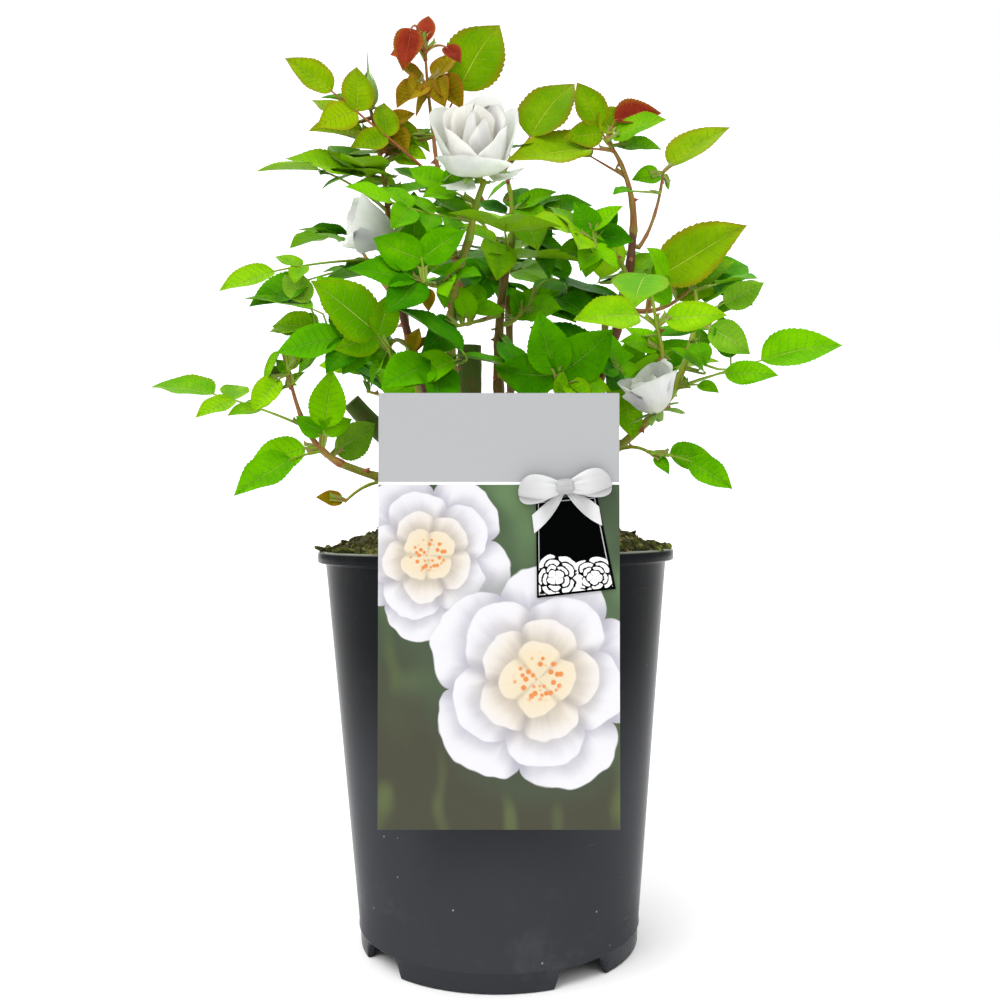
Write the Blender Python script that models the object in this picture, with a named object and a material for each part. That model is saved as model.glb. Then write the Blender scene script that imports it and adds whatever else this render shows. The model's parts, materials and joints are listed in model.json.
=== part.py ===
"""Potted rose bush: pot, root ball, hanging label, canes and leafy shoots.

Lengths are metres and +Z is up. The plant's tables are in millimetres and
degrees and are turned into metres as they are read. The origin lies on the
floor at the middle of the pot; the label hangs on the -Y side.
"""
import math
import random

import bmesh
import bpy
from mathutils import Matrix, Vector
from mathutils.bvhtree import BVHTree

MM = 0.001
UP = Vector((0.0, 0.0, 1.0))
GAP = 0.3 * MM                    # clear space between touching pieces
CLEAR = 0.5 * MM                  # clear space at the foot of a cane or shoot

# Pot: a plain tapered nursery pot
POT_HEIGHT = 0.2012
POT_RIM_RADIUS = 0.0925           # outside of the lip
POT_TOP_RADIUS = 0.0884           # wall just under the lip
POT_FOOT_RADIUS = 0.0715
POT_WALL = 0.0016
POT_LIP_HEIGHT = 0.0060
POT_FLOOR_RISE = 0.0090           # underside of the floor above the ground
POT_FLOOR_THICKNESS = 0.0020
POT_FOOT_WIDTH = 0.0026
POT_SEGMENTS = 48
POT_LIP_WIDTH = 0.0038            # flat top of the lip
RIDGE_HEIGHT = 0.0100             # moulded line round the foot
RIDGE_DEPTH = 0.0004
NOTCH_HEIGHT = 0.0088
NOTCH_ANGLE = 26.0                # width of each drain notch, degrees
NOTCH_BEARINGS = (-143.0, -57.0, 37.0, 123.0)

# Root ball: compost heaped above the rim
SOIL_EDGE_HEIGHT = 0.1972
SOIL_TOP_HEIGHT = 0.2165
SOIL_ROUGHNESS = 0.0009
SOIL_SMOOTH_RADIUS = 0.030        # level ground round the stem base
SOIL_SEED = 11

# Label card, its clip, the tag and the bow
CARD_WIDTH = 0.1055
CARD_HEIGHT = 0.1903
CARD_THICKNESS = 0.0008
CARD_CENTRE = (0.0012, 0.1770)    # x and z
CARD_FRONT = -0.0949
CARD_TILT = 0.55                  # degrees about Y
CLIP_WIDTH = 0.0160
CLIP_THICKNESS = 0.0008
CLIP_DROP = 0.0170                # how far its front leg hangs below the rim
CLIP_HOOK = 0.0030                # and its hook
TAG_CORNERS = ((17.8, 182.4), (52.3, 186.0), (44.5, 227.1), (17.8, 225.1))
TAG_THICKNESS = 0.0006
BOW_KNOT = (31.0, 231.3)
BOW_SPAN = 20.3                   # half of the width over both loops

# Stem base
KNOB_CENTRE = Vector((0.0, 0.0, 0.2330))
KNOB_RADIUS = 0.0148
KNOB_FOOT_RADIUS = 0.0085

# Leaves
LEAF_WIDTH = 0.62                 # of its length
LEAF_DROOP = 0.10                 # fall of the tip, of the length
LEAF_FOLD = 0.20                  # rise of the margin per unit of half width
LEAF_THICKNESS = 0.017            # at the midrib, of its length
LEAF_THINNEST = 0.00055
RACHIS_RADIUS = 0.00085
SIDE_SHARE = 0.94                 # length of a side leaflet in the fans
LEAF_CLEAR = 0.5 * MM             # space kept round a blade

# name, bearing and rise of the foot on the knob, tip, bow, foot and tip radius
CANES = (
    ("left_cane", -178, 22, (-52, -12, 347), (-2, 4, -9), 3.4, 2.3),
    ("centre_left_cane", -112, 38, (-12, -30, 357), (-13, 0, 0), 3.2, 2.3),
    ("centre_right_cane", 5, 64, (7, 0, 349), (-5, 4, 0), 3.6, 2.5),
    ("right_cane", -10, 24, (76, 10, 371), (11, 0, -14), 3.6, 2.5),
    ("low_right_cane", -38, -4, (90, -20, 279), (1, 0, -10), 3.0, 2.4),
    ("low_left_cane", -155, -8, (-76, -34, 245), (0, 0, -3), 2.9, 2.3),
    ("left_stub", 158, -4, (-75, -5, 279), (0, 3, -5), 4.4, 4.1),
    ("centre_stub", 150, 52, (-13, 8, 310), (-1, 1, 0), 5.6, 5.3),
    ("back_left_cane", 122, 8, (-52, 60, 338), (-8, 6, -8), 3.3, 2.3),
    ("back_cane", 80, 34, (8, 62, 352), (4, 8, -10), 3.3, 2.3),
    ("back_right_cane", 35, 6, (66, 62, 334), (10, 6, -10), 3.3, 2.3),
)

# name, cane it stands on, place along the cane, tip, bow, foot and tip radius
SHOOTS = (
    ("low_left_shoot", "low_left_cane", 1.00, (-101, -40, 291), (-3, 0, -7), 2.1, 0.9),
    ("low_left_twig", "low_left_cane", 0.65, (-72, -50, 226), (0, 0, 3), 1.1, 0.8),
    ("left_shoot", "left_cane", 1.00, (-63, -16, 431), (2, 0, 2), 2.2, 1.0),
    ("left_front_twig", "left_cane", 0.69, (-51, -45, 299), (-1, -8, 4), 1.5, 1.0),
    ("top_bloom_shoot", "centre_left_cane", 1.00, (-4, -38, 383), (-1, 0, 0), 2.1, 1.7),
    ("red_tip_shoot", "centre_left_cane", 0.91, (-34, -20, 460), (-2, 6, -3), 1.9, 0.8),
    ("centre_left_twig", "centre_left_cane", 0.79, (-33, -52, 330), (0, 0, 0), 1.4, 1.0),
    ("centre_right_shoot", "centre_right_cane", 1.00, (6, -4, 403), (4, 0, 0), 2.3, 1.1),
    ("inner_left_twig", "centre_right_cane", 0.76, (-18, -34, 313), (-1, -7, -2), 1.4, 1.0),
    ("inner_right_twig", "centre_right_cane", 0.72, (20, 4, 332), (0, 0, -2), 1.4, 1.0),
    ("right_shoot", "right_cane", 1.00, (61, 2, 418), (4, 0, 3), 2.2, 1.1),
    ("right_side_twig", "right_cane", 0.96, (94, 20, 407), (2, 0, -3), 1.3, 0.9),
    ("right_inner_twig", "right_cane", 0.86, (52, -12, 361), (1, -6, 2), 1.4, 0.9),
    ("right_mid_shoot", "right_cane", 0.76, (103, -6, 336), (1, 4, -4), 1.7, 1.0),
    ("low_right_shoot", "low_right_cane", 1.00, (105, -10, 337), (5, 0, 3), 2.1, 1.0),
    ("right_bloom_shoot", "low_right_cane", 0.89, (78, -52, 309), (3, -4, 2), 1.7, 1.1),
    ("low_right_twig", "low_right_cane", 0.61, (77, -40, 248), (0, 0, 3), 1.2, 0.9),
    ("centre_front_twig", "centre_right_cane", 0.44, (32, -48, 282), (0, -6, -6), 1.8, 1.2),
    ("left_low_front_twig", "centre_left_cane", 0.40, (-24, -42, 293), (0, -2, -3), 1.6, 1.1),
    ("right_front_twig", "right_cane", 0.53, (64, -30, 290), (0, -6, -4), 1.6, 1.1),
    ("back_left_shoot", "back_left_cane", 1.00, (-84, 70, 388), (-4, 4, 4), 2.0, 1.0),
    ("back_shoot", "back_cane", 1.00, (-14, 66, 404), (4, 6, 2), 2.0, 1.0),
    ("back_right_shoot", "back_right_cane", 1.00, (96, 66, 372), (2, 4, 4), 2.0, 1.0),
    ("back_low_left_twig", "back_left_cane", 0.50, (-74, 58, 292), (0, 4, 2), 1.6, 1.0),
    ("back_low_right_twig", "back_right_cane", 0.50, (88, 56, 290), (0, 4, 2), 1.6, 1.0),
)

# shoot, place along it, tip of the end leaflet, arch, leaflets, length of the end one,
# share of it that the side ones have, tilt of the face from the sky, bearing it looks to
LEAVES = (
    ("low_left_shoot", 0.54, (-176, -20, 289), 3, 5, 36, 62, 30, -90),
    ("low_left_shoot", 0.97, (-118, -50, 270), 3, 1, 22, 94, 55, -90),
    ("low_left_shoot", 1.00, (-93, -46, 300), 0, 1, 11, 94, 60, -90),
    ("low_left_shoot", 1.00, (-115, -36, 290), 0, 1, 12, 94, 60, -90),
    ("low_left_shoot", 0.24, (-124, -60, 232), 3, 1, 33, 94, 52, -90),
    ("low_left_shoot", 0.28, (-122, -44, 242), 4, 1, 31, 94, 60, -90),
    ("low_left_shoot", 0.26, (-78, -50, 290), 0, 3, 29, 55, 86, -80),
    ("low_left_shoot", 0.15, (-59, -20, 266), 1, 1, 32, 94, 120, -90),
    ("low_left_twig", 1.00, (-85, -56, 229), 0, 1, 14, 94, 60, -90),
    ("left_shoot", 0.32, (-119, -30, 396), 9, 3, 31, 50, 22, -90),
    ("left_shoot", 0.52, (-102, -34, 402), -2, 3, 40, 94, 44, -90),
    ("left_shoot", 0.85, (-43, -20, 404), 7, 3, 17, 94, 64, -90),
    ("left_shoot", 0.61, (-32, -10, 422), -2, 5, 16, 94, 66, -90),
    ("left_shoot", 0.80, (-92, -30, 415), 3, 1, 28, 94, 58, -90),
    ("left_shoot", 0.04, (-133, -50, 330), 4, 3, 29, 60, 45, -90),
    ("left_shoot", 0.03, (-122, -36, 325), 3, 1, 33, 94, 50, -90),
    ("left_front_twig", 0.99, (-81, -80, 326), 5, 3, 42, 55, 76, -90),
    ("left_front_twig", 0.95, (-105, -54, 302), 4, 5, 32, 75, 58, -90),
    ("left_front_twig", 0.90, (-113, -28, 317), 3, 1, 24, 94, 66, -90),
    ("left_front_twig", 1.00, (-64, -30, 296), 0, 3, 20, 94, 70, -90),
    ("top_bloom_shoot", 0.31, (-69, -62, 376), -3, 7, 23, 94, 48, -90),
    ("top_bloom_shoot", 0.61, (-42, -30, 395), 0, 3, 23, 94, 60, -90),
    ("red_tip_shoot", 1.00, (-32, -20, 477), 0, 1, 15, 94, 80, -90),
    ("red_tip_shoot", 0.40, (-101, -42, 446), 1, 5, 27, 94, 62, -90),
    ("red_tip_shoot", 0.60, (6, -6, 480), 3, 1, 46, 94, 88, -80),
    ("red_tip_shoot", 0.81, (-48, -30, 426), 8, 3, 19, 94, 66, -90),
    ("red_tip_shoot", 0.85, (-14, -26, 426), 7, 3, 22, 94, 66, -90),
    ("red_tip_shoot", 0.98, (-45, -28, 445), 17, 1, 22, 94, 80, -90),
    ("red_tip_shoot", 0.94, (-53, -16, 458), 16, 1, 18, 94, 80, -90),
    ("red_tip_shoot", 0.97, (-15, -34, 445), 6, 1, 14, 94, 70, -90),
    ("centre_left_twig", 1.00, (-37, -55, 373), 0, 3, 28, 94, 84, -90),
    ("centre_left_twig", 0.90, (-68, -60, 339), 2, 3, 33, 94, 48, -90),
    ("centre_left_twig", 0.51, (-6, -60, 334), 2, 3, 19, 94, 50, -90),
    ("centre_right_shoot", 0.13, (3, -90, 358), 0, 3, 34, 94, 34, -90),
    ("centre_right_shoot", 0.96, (45, 10, 457), -1, 1, 45, 94, 72, -100),
    ("centre_right_shoot", 0.56, (34, -4, 391), 0, 3, 24, 94, 44, -90),
    ("centre_right_shoot", 0.44, (50, -14, 368), 2, 3, 31, 94, 40, -90),
    ("centre_right_shoot", 0.33, (44, 14, 352), 2, 3, 25, 94, 62, -90),
    ("centre_right_shoot", 0.23, (-26, -30, 351), 3, 3, 33, 94, 36, -90),
    ("inner_left_twig", 1.00, (-45, -52, 322), 2, 3, 30, 94, 60, -90),
    ("inner_left_twig", 0.67, (-8, -12, 341), 0, 3, 20, 94, 80, -90),
    ("inner_left_twig", 0.85, (-22, 12, 353), 2, 1, 28, 94, 58, -90),
    ("inner_right_twig", 1.00, (70, 12, 340), 1, 5, 31, 94, 44, -90),
    ("inner_right_twig", 0.75, (34, -20, 325), 0, 1, 28, 94, 80, -90),
    ("inner_right_twig", 0.60, (10, -10, 337), 2, 1, 26, 94, 70, -90),
    ("right_shoot", 0.87, (46, 0, 450), -3, 3, 27, 80, 70, -90),
    ("right_shoot", 0.85, (8, -10, 409), 2, 1, 46, 94, 52, -90),
    ("right_shoot", 0.92, (90, -4, 413), 0, 1, 28, 94, 46, -90),
    ("right_shoot", 0.98, (92, 4, 436), 19, 1, 27, 94, 62, -90),
    ("right_shoot", 1.00, (89, -18, 424), 1, 1, 34, 94, 58, -90),
    ("right_shoot", 0.53, (33, 18, 428), 0, 1, 26, 94, 50, -90),
    ("right_side_twig", 1.00, (132, 24, 436), 0, 1, 46, 94, 36, -90),
    ("right_side_twig", 0.99, (76, 12, 401), 0, 1, 21, 94, 76, -90),
    ("right_side_twig", 0.97, (100, 30, 400), 0, 1, 14, 94, 70, -90),
    ("right_side_twig", 0.77, (63, -12, 387), 0, 1, 16, 94, 40, -90),
    ("right_inner_twig", 1.00, (19, -36, 368), 1, 3, 29, 94, 50, -90),
    ("right_inner_twig", 0.95, (44, -30, 342), 0, 3, 20, 94, 80, -90),
    ("right_inner_twig", 1.00, (65, -10, 381), 0, 3, 23, 94, 72, -90),
    ("right_mid_shoot", 0.30, (128, -20, 369), 30, 1, 54, 70, 60, -90),
    ("right_mid_shoot", 0.52, (127, -2, 357), 8, 3, 34, 70, 56, -90),
    ("right_mid_shoot", 1.00, (142, 20, 357), 0, 3, 29, 94, 66, -90),
    ("right_mid_shoot", 0.79, (80, -26, 354), 0, 3, 23, 94, 60, -90),
    ("low_right_shoot", 0.03, (176, -28, 305), 2, 1, 41, 66, 50, -90),
    ("low_right_shoot", 0.03, (140, -40, 288), 4, 1, 26, 94, 52, -90),
    ("low_right_shoot", 0.03, (112, -34, 279), 3, 1, 12, 94, 60, -90),
    ("low_right_shoot", 0.66, (136, -30, 334), 0, 1, 22, 94, 100, -90),
    ("low_right_shoot", 0.60, (132, -20, 301), 2, 1, 25, 94, 84, -90),
    ("low_right_shoot", 0.42, (105, -36, 292), 4, 1, 18, 94, 66, -90),
    ("low_right_shoot", 0.95, (130, -40, 337), 0, 1, 24, 94, 22, -90),
    ("right_bloom_shoot", 1.00, (59, -119, 308), 17, 1, 36, 94, 40, -90),
    ("right_bloom_shoot", 1.00, (38, -74, 311), 6, 1, 35, 94, 60, -90),
    ("right_bloom_shoot", 0.96, (110, -62, 314), 8, 1, 38, 94, 60, -90),
    ("right_bloom_shoot", 0.66, (61, -52, 303), 1, 1, 19, 94, 56, -90),
    ("low_right_twig", 1.00, (115, -50, 231), 4, 1, 25, 94, 56, -90),
    ("low_right_twig", 0.98, (110, -34, 247), 0, 1, 24, 94, 62, -90),
    ("low_right_twig", 0.90, (85, -46, 239), 1, 1, 11, 94, 60, -90),
    ("centre_front_twig", 1.00, (22, -62, 314), 2, 3, 36, 94, 84, -90),
    ("centre_front_twig", 0.79, (-15, -60, 293), 4, 3, 29, 94, 46, -90),
    ("centre_front_twig", 1.00, (57, -50, 279), 3, 3, 21, 94, 60, -90),
    ("left_low_front_twig", 1.00, (-51, -76, 279), 4, 3, 35, 94, 72, -90),
    ("right_front_twig", 1.00, (43, -50, 293), 3, 3, 24, 94, 62, -90),
    ("right_front_twig", 0.76, (70, -30, 256), 5, 3, 20, 94, 70, -90),
    ("back_shoot", 0.04, (-36, 50, 362), 2, 3, 31, 94, 58, -90),
    ("back_shoot", 0.06, (4, 42, 346), 2, 3, 30, 94, 62, -90),
    ("back_low_right_twig", 0.10, (113, 46, 320), 2, 3, 30, 94, 60, -90),
)

# shoots whose leaves are dealt round them: leaves, leaflets, their length,
# reach, bearing and spread of the fan, rise, seed
FANS = (
    ("back_left_shoot", 5, 5, 30, 55, 112, 130, 8, 21),
    ("back_shoot", 5, 5, 30, 54, 95, 230, 4, 22),
    ("back_right_shoot", 5, 5, 30, 55, 42, 190, 8, 23),
    ("back_low_left_twig", 3, 5, 30, 56, 140, 110, 30, 24),
    ("back_low_right_twig", 3, 5, 30, 58, 36, 110, 24, 25),
)

# shoot, place along it, foot of the bloom, axis, length, width of the mouth
BLOOMS = (
    ("top_bloom_shoot", 0.97, (-4, -38, 387), (-0.10, -0.28, 0.95), 38, 42),
    ("left_shoot", 0.03, (-51, -30, 366), (-0.88, -0.25, 0.40), 27, 29),
    ("right_bloom_shoot", 0.30, (76, -46, 271), (-0.08, -0.30, 0.95), 27, 26),
)

# shoot, axis, length of the bud, length of its drawn-out tip
BUDS = (
    ("left_shoot", (-0.04, 0.0, 1.0), 15, 16),
)


def clear_scene():
    """Remove every object."""
    for obj in list(bpy.data.objects):
        bpy.data.objects.remove(obj, do_unlink=True)


def material(name, colour, roughness):
    """Plain Principled material."""
    mat = bpy.data.materials.new(name)
    mat.use_nodes = True
    shader = mat.node_tree.nodes["Principled BSDF"]
    shader.inputs["Base Color"].default_value = (*colour, 1.0)
    shader.inputs["Roughness"].default_value = roughness
    return mat


def make_object(name, solid, mat, origin, smooth=False):
    """Object from a solid (points, faces) with its origin at a named place."""
    points, faces = solid
    origin = Vector(origin)
    mesh = bpy.data.meshes.new(name)
    mesh.from_pydata([Vector(p) - origin for p in points], [], faces)
    mesh.validate()
    mesh.materials.append(mat)
    for polygon in mesh.polygons:
        polygon.use_smooth = smooth
    obj = bpy.data.objects.new(name, mesh)
    obj.location = origin
    bpy.context.scene.collection.objects.link(obj)
    return obj


def signed_volume(points, faces):
    """Volume of a closed shell, negative when it is inside out."""
    total = 0.0
    for face in faces:
        first = points[face[0]]
        for b, c in zip(face[1:-1], face[2:]):
            total += first.dot(points[b].cross(points[c]))
    return total / 6.0


def outward(points, faces):
    """The same shell with its faces looking outwards."""
    points = [Vector(p) for p in points]
    if signed_volume(points, faces) < 0.0:
        faces = [tuple(reversed(face)) for face in faces]
    return points, faces


# ---------------------------------------------------------------- solids

def lathe(profile, segments, centre=(0.0, 0.0, 0.0), axis=UP):
    """Solid of revolution of (radius, height) pairs, closed on the axis."""
    turn = UP.rotation_difference(Vector(axis).normalized()).to_matrix()
    centre = Vector(centre)
    points = []
    rings = []
    for radius, height in profile:
        if radius <= 0.0:
            rings.append([len(points)])
            points.append(centre + turn @ Vector((0.0, 0.0, height)))
            continue
        ring = []
        for k in range(segments):
            angle = math.tau * k / segments
            local = Vector((radius * math.cos(angle), radius * math.sin(angle), height))
            ring.append(len(points))
            points.append(centre + turn @ local)
        rings.append(ring)
    faces = []
    for low, high in zip(rings, rings[1:]):
        for k in range(segments):
            j = (k + 1) % segments
            if len(low) == 1:
                faces.append((low[0], high[j], high[k]))
            elif len(high) == 1:
                faces.append((low[k], low[j], high[0]))
            else:
                faces.append((low[k], low[j], high[j], high[k]))
    return outward(points, faces)


def tube(path, radii, sides):
    """Closed round limb along a path, carried without twist."""
    points = []
    side = None
    for k, centre in enumerate(path):
        ahead = path[min(k + 1, len(path) - 1)] - path[max(k - 1, 0)]
        ahead.normalize()
        if side is None:
            side = ahead.orthogonal()
        side = (side - ahead * side.dot(ahead)).normalized()
        other = ahead.cross(side)
        for s in range(sides):
            angle = math.tau * s / sides
            points.append(centre + (side * math.cos(angle) + other * math.sin(angle)) * radii[k])
    faces = [tuple(range(sides))[::-1]]
    last = (len(path) - 1) * sides
    for k in range(len(path) - 1):
        for s in range(sides):
            a = k * sides + s
            b = k * sides + (s + 1) % sides
            faces.append((a, b, b + sides, a + sides))
    faces.append(tuple(range(last, last + sides)))
    return outward(points, faces)


def plate(outline, front, thickness):
    """Flat plate with an outline in x and z, its face at y = front."""
    count = len(outline)
    points = [Vector((x, front, z)) for x, z in outline]
    points += [Vector((x, front + thickness, z)) for x, z in outline]
    faces = [tuple(range(count)), tuple(range(2 * count - 1, count - 1, -1))]
    for k in range(count):
        j = (k + 1) % count
        faces.append((j, k, k + count, j + count))
    return outward(points, faces)


def blade(root, heading, face, length, grow=0.0):
    """Nine points of a folded, drooping leaf blade: two rings of four and the tip.

    Each ring runs margin, ridge, margin, underside; grow thickens it for space tests.
    """
    heading = heading.normalized()
    face = (face - heading * face.dot(heading)).normalized()
    side = face.cross(heading)
    half = LEAF_WIDTH * 0.5 * length
    thick = max(LEAF_THINNEST, LEAF_THICKNESS * length)
    points = []
    for along, width, depth in ((0.36, half, thick), (0.74, 0.70 * half, 0.8 * thick)):
        middle = root + heading * (along * length) - face * (LEAF_DROOP * length * along ** 2)
        rise = face * (width * LEAF_FOLD)
        points.append(middle + side * (width + grow) + rise)
        points.append(middle + face * (0.5 * depth + grow))
        points.append(middle - side * (width + grow) + rise)
        points.append(middle - face * (0.5 * depth + grow))
    points.append(root + heading * (length + grow) - face * (LEAF_DROOP * length))
    return points


def blade_faces(first):
    """Faces of a blade whose nine points start at a number, open at its root."""
    faces = []
    for k in range(4):
        j = (k + 1) % 4
        faces.append((first + k, first + j, first + 4 + j, first + 4 + k))
        faces.append((first + 4 + k, first + 4 + j, first + 8))
    return faces


def leaflet(root, heading, face, length, grow=0.0):
    """A blade closed at its root by a small ring."""
    heading = heading.normalized()
    face = (face - heading * face.dot(heading)).normalized()
    side = face.cross(heading)
    small = 0.6 * MM
    points = [root + side * small, root + face * small, root - side * small, root - face * small]
    points += blade(root, heading, face, length, grow)
    faces = [(3, 2, 1, 0)]
    for k in range(4):
        j = (k + 1) % 4
        faces.append((k, j, 4 + j, 4 + k))
    return outward(points, faces + blade_faces(4))


def parabola(start, end, bow, t):
    """Point on a bowed limb, t from 0 at the start to 1 at the end."""
    return start.lerp(end, t) + bow * (4.0 * t * (1.0 - t))


class Limb:
    """A bowed, tapering stem."""

    def __init__(self, start, end, bow, foot_radius, tip_radius):
        self.start = start
        self.end = end
        self.bow = bow
        self.foot_radius = foot_radius
        self.tip_radius = tip_radius

    def point(self, t):
        return parabola(self.start, self.end, self.bow, t)

    def heading(self, t):
        return (self.end - self.start + self.bow * (4.0 - 8.0 * t)).normalized()

    def radius(self, t):
        return self.foot_radius + (self.tip_radius - self.foot_radius) * t

    def solid(self, steps, sides):
        path = [self.point(k / steps) for k in range(steps + 1)]
        radii = [self.radius(k / steps) for k in range(steps + 1)]
        return tube(path, radii, sides)


def metres(values):
    """Vector in metres from millimetres."""
    return Vector(values) * MM


def direction(bearing, rise):
    """Unit vector from a bearing and a rise in degrees."""
    b = math.radians(bearing)
    r = math.radians(rise)
    return Vector((math.cos(r) * math.cos(b), math.cos(r) * math.sin(b), math.sin(r)))


def cane_limb(row):
    """Limb for a row of CANES, its foot just clear of the knob."""
    _, bearing, rise, tip, bow, foot_radius, tip_radius = row
    out = direction(bearing, rise)
    end, bow = metres(tip), metres(bow)
    foot_radius *= MM
    start = KNOB_CENTRE + out * KNOB_RADIUS
    heading = (end - start + bow * 4.0).normalized()
    lean = math.sqrt(max(0.0, 1.0 - heading.dot(out) ** 2))
    start = start + out * (CLEAR + foot_radius * lean)
    return Limb(start, end, bow, foot_radius, tip_radius * MM)


def shoot_limb(row, canes):
    """Limb for a row of SHOOTS, its foot just clear of its cane."""
    _, cane_name, place, tip, bow, foot_radius, tip_radius = row
    cane = canes[cane_name]
    end, bow = metres(tip), metres(bow)
    foot_radius *= MM
    start = cane.point(place)
    heading = (end - start + bow * 4.0).normalized()
    along = cane.heading(place)
    if place >= 0.999:
        out = along
        distance = CLEAR
    else:
        out = (heading - along * heading.dot(along)).normalized()
        distance = CLEAR + cane.radius(place)
    lean = math.sqrt(max(0.0, 1.0 - heading.dot(out) ** 2))
    start = start + out * (distance + foot_radius * lean)
    return Limb(start, end, bow, foot_radius, tip_radius * MM)


# ---------------------------------------------------------------- own space

class Space:
    """Keeps the solids already placed and tells whether a new one is clear."""

    def __init__(self):
        self.taken = []

    def add(self, solids):
        points, faces = [], []
        for own_points, own_faces in solids:
            shift = len(points)
            points += own_points
            faces += [tuple(k + shift for k in face) for face in own_faces]
        low = Vector([min(p[k] for p in points) for k in range(3)])
        high = Vector([max(p[k] for p in points) for k in range(3)])
        self.taken.append((low, high, BVHTree.FromPolygons(points, faces)))

    def is_clear(self, solid):
        points, faces = solid
        low = Vector([min(p[k] for p in points) for k in range(3)])
        high = Vector([max(p[k] for p in points) for k in range(3)])
        tree = None
        for other_low, other_high, other in self.taken:
            if any(low[k] > other_high[k] or high[k] < other_low[k] for k in range(3)):
                continue
            if tree is None:
                tree = BVHTree.FromPolygons(points, faces)
            if tree.overlap(other):
                return False
        return True


# ---------------------------------------------------------------- leaves

def fits(root, heading, face, size, space, own):
    """Whether a blade is clear of the other nodes and of its own shoot's blades."""
    ahead = heading.normalized()
    if not space.is_clear(leaflet(root, heading, face, size, LEAF_CLEAR)):
        return False
    return own.is_clear(leaflet(root + ahead * (2.2 * MM), heading, face, size - 2.2 * MM))


def bare_share(start, tip, bow, length):
    """Furthest place along a leaf's stalk that leaves room for its end leaflet."""
    for step in range(95, 12, -1):
        t = 0.01 * step
        if (tip - parabola(start, tip, bow, t)).length >= length:
            return t
    return 0.12


def compound_leaf(start, tip, arch, count, length, share, face, rng, space, own):
    """One leaf as a closed body: a three-sided stalk, leaflet pairs and an end leaflet.

    A leaflet that would touch another is swung a little, then left out.
    """
    bow = UP * arch
    reach = (tip - start).length
    bare = bare_share(start, tip, bow, length)
    pairs = (count - 1) // 2
    places = sorted(bare * (1.0 - 0.22 - 0.28 * k) for k in range(pairs))
    half_joint = 0.8 * MM / reach
    stops = [0.0]
    for place in places:
        stops += [place - half_joint, place + half_joint]
    stops.append(bare)
    path = [parabola(start, tip, bow, t) for t in stops]
    radii = [RACHIS_RADIUS * (1.0 - 0.3 * t / bare) for t in stops]
    if not space.is_clear(tube(path, [r + 2.5 * GAP for r in radii], 3)):
        return []

    # the stalk: rings of three corners, left, right and below
    points = []
    for t, centre, radius in zip(stops, path, radii):
        along = (tip - start + bow * (4.0 - 8.0 * t)).normalized()
        normal = (face - along * face.dot(along)).normalized()
        across = normal.cross(along)
        for degrees in (30.0, 150.0, 270.0):
            angle = math.radians(degrees)
            points.append(centre + (across * math.cos(angle) + normal * math.sin(angle)) * radius)
    faces = [(2, 1, 0)]
    for ring in range(len(stops) - 1):
        a, b, c = 3 * ring, 3 * ring + 1, 3 * ring + 2
        faces.append((a, b, b + 3, a + 3))
        sides = {1.0: (c, a, a + 3, c + 3), -1.0: (b, c, c + 3, b + 3)}
        if ring % 2 == 0 or ring == len(stops) - 2:
            faces += [sides[1.0], sides[-1.0]]
            continue
        number = (ring - 1) // 2
        root = path[ring].lerp(path[ring + 1], 0.5)
        along = (path[ring + 1] - path[ring]).normalized()
        normal = (face - along * face.dot(along)).normalized()
        across = normal.cross(along)
        for sign in (1.0, -1.0):
            size = length * share * (1.0 - 0.12 * (pairs - 1 - number)) * rng.uniform(0.92, 1.04)
            found = None
            for swing in (0.0, 0.35, -0.35, 0.7, -0.7):
                angle = math.radians(64.0 + rng.uniform(-8.0, 8.0))
                heading = along * math.cos(angle) + across * (sign * math.sin(angle))
                heading += normal * (rng.uniform(-0.12, 0.16) + swing)
                own_face = normal + across * (sign * (rng.uniform(-0.25, 0.10) - swing))
                if found is None and fits(root, heading, own_face, size, space, own):
                    found = heading, own_face
            if found is None:
                faces.append(sides[sign])
                continue
            first = len(points)
            points += blade(root, found[0], found[1], size)
            base = sides[sign]
            turn = 0 if sign > 0.0 else 1
            for k in range(4):
                j = (k + 1) % 4
                faces.append((base[k], base[j], first + (j + turn) % 4, first + (k + turn) % 4))
            faces += blade_faces(first)

    end = 3 * (len(stops) - 1)
    ahead = tip - path[-1]
    if fits(path[-1], ahead, face, ahead.length, space, own):
        left = len(points)
        top, right, below = left + 1, left + 2, left + 3
        points += blade(path[-1], ahead, face, ahead.length)
        faces += [(end, top, left), (end, end + 1, top), (end + 1, right, top),
                  (end + 1, end + 2, below, right), (end + 2, end, left, below)]
        faces += blade_faces(left)
    else:
        faces.append((end, end + 1, end + 2))
    solid = outward(points, faces)
    own.add([solid])
    return [solid]


def table_leaves(name, limb, space, own):
    """Leaves of a shoot from its rows of LEAVES."""
    solids = []
    for number, row in enumerate(LEAVES):
        shoot, place, tip, arch, count, length, share, tilt, lean = row
        if shoot != name:
            continue
        rng = random.Random(100 + number)
        face = direction(lean, 90.0 - tilt)
        start = limb.point(min(place, 0.985))
        solids += compound_leaf(start, metres(tip), arch * MM, count, length * MM,
                                0.01 * share, face, rng, space, own)
    return solids


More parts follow.
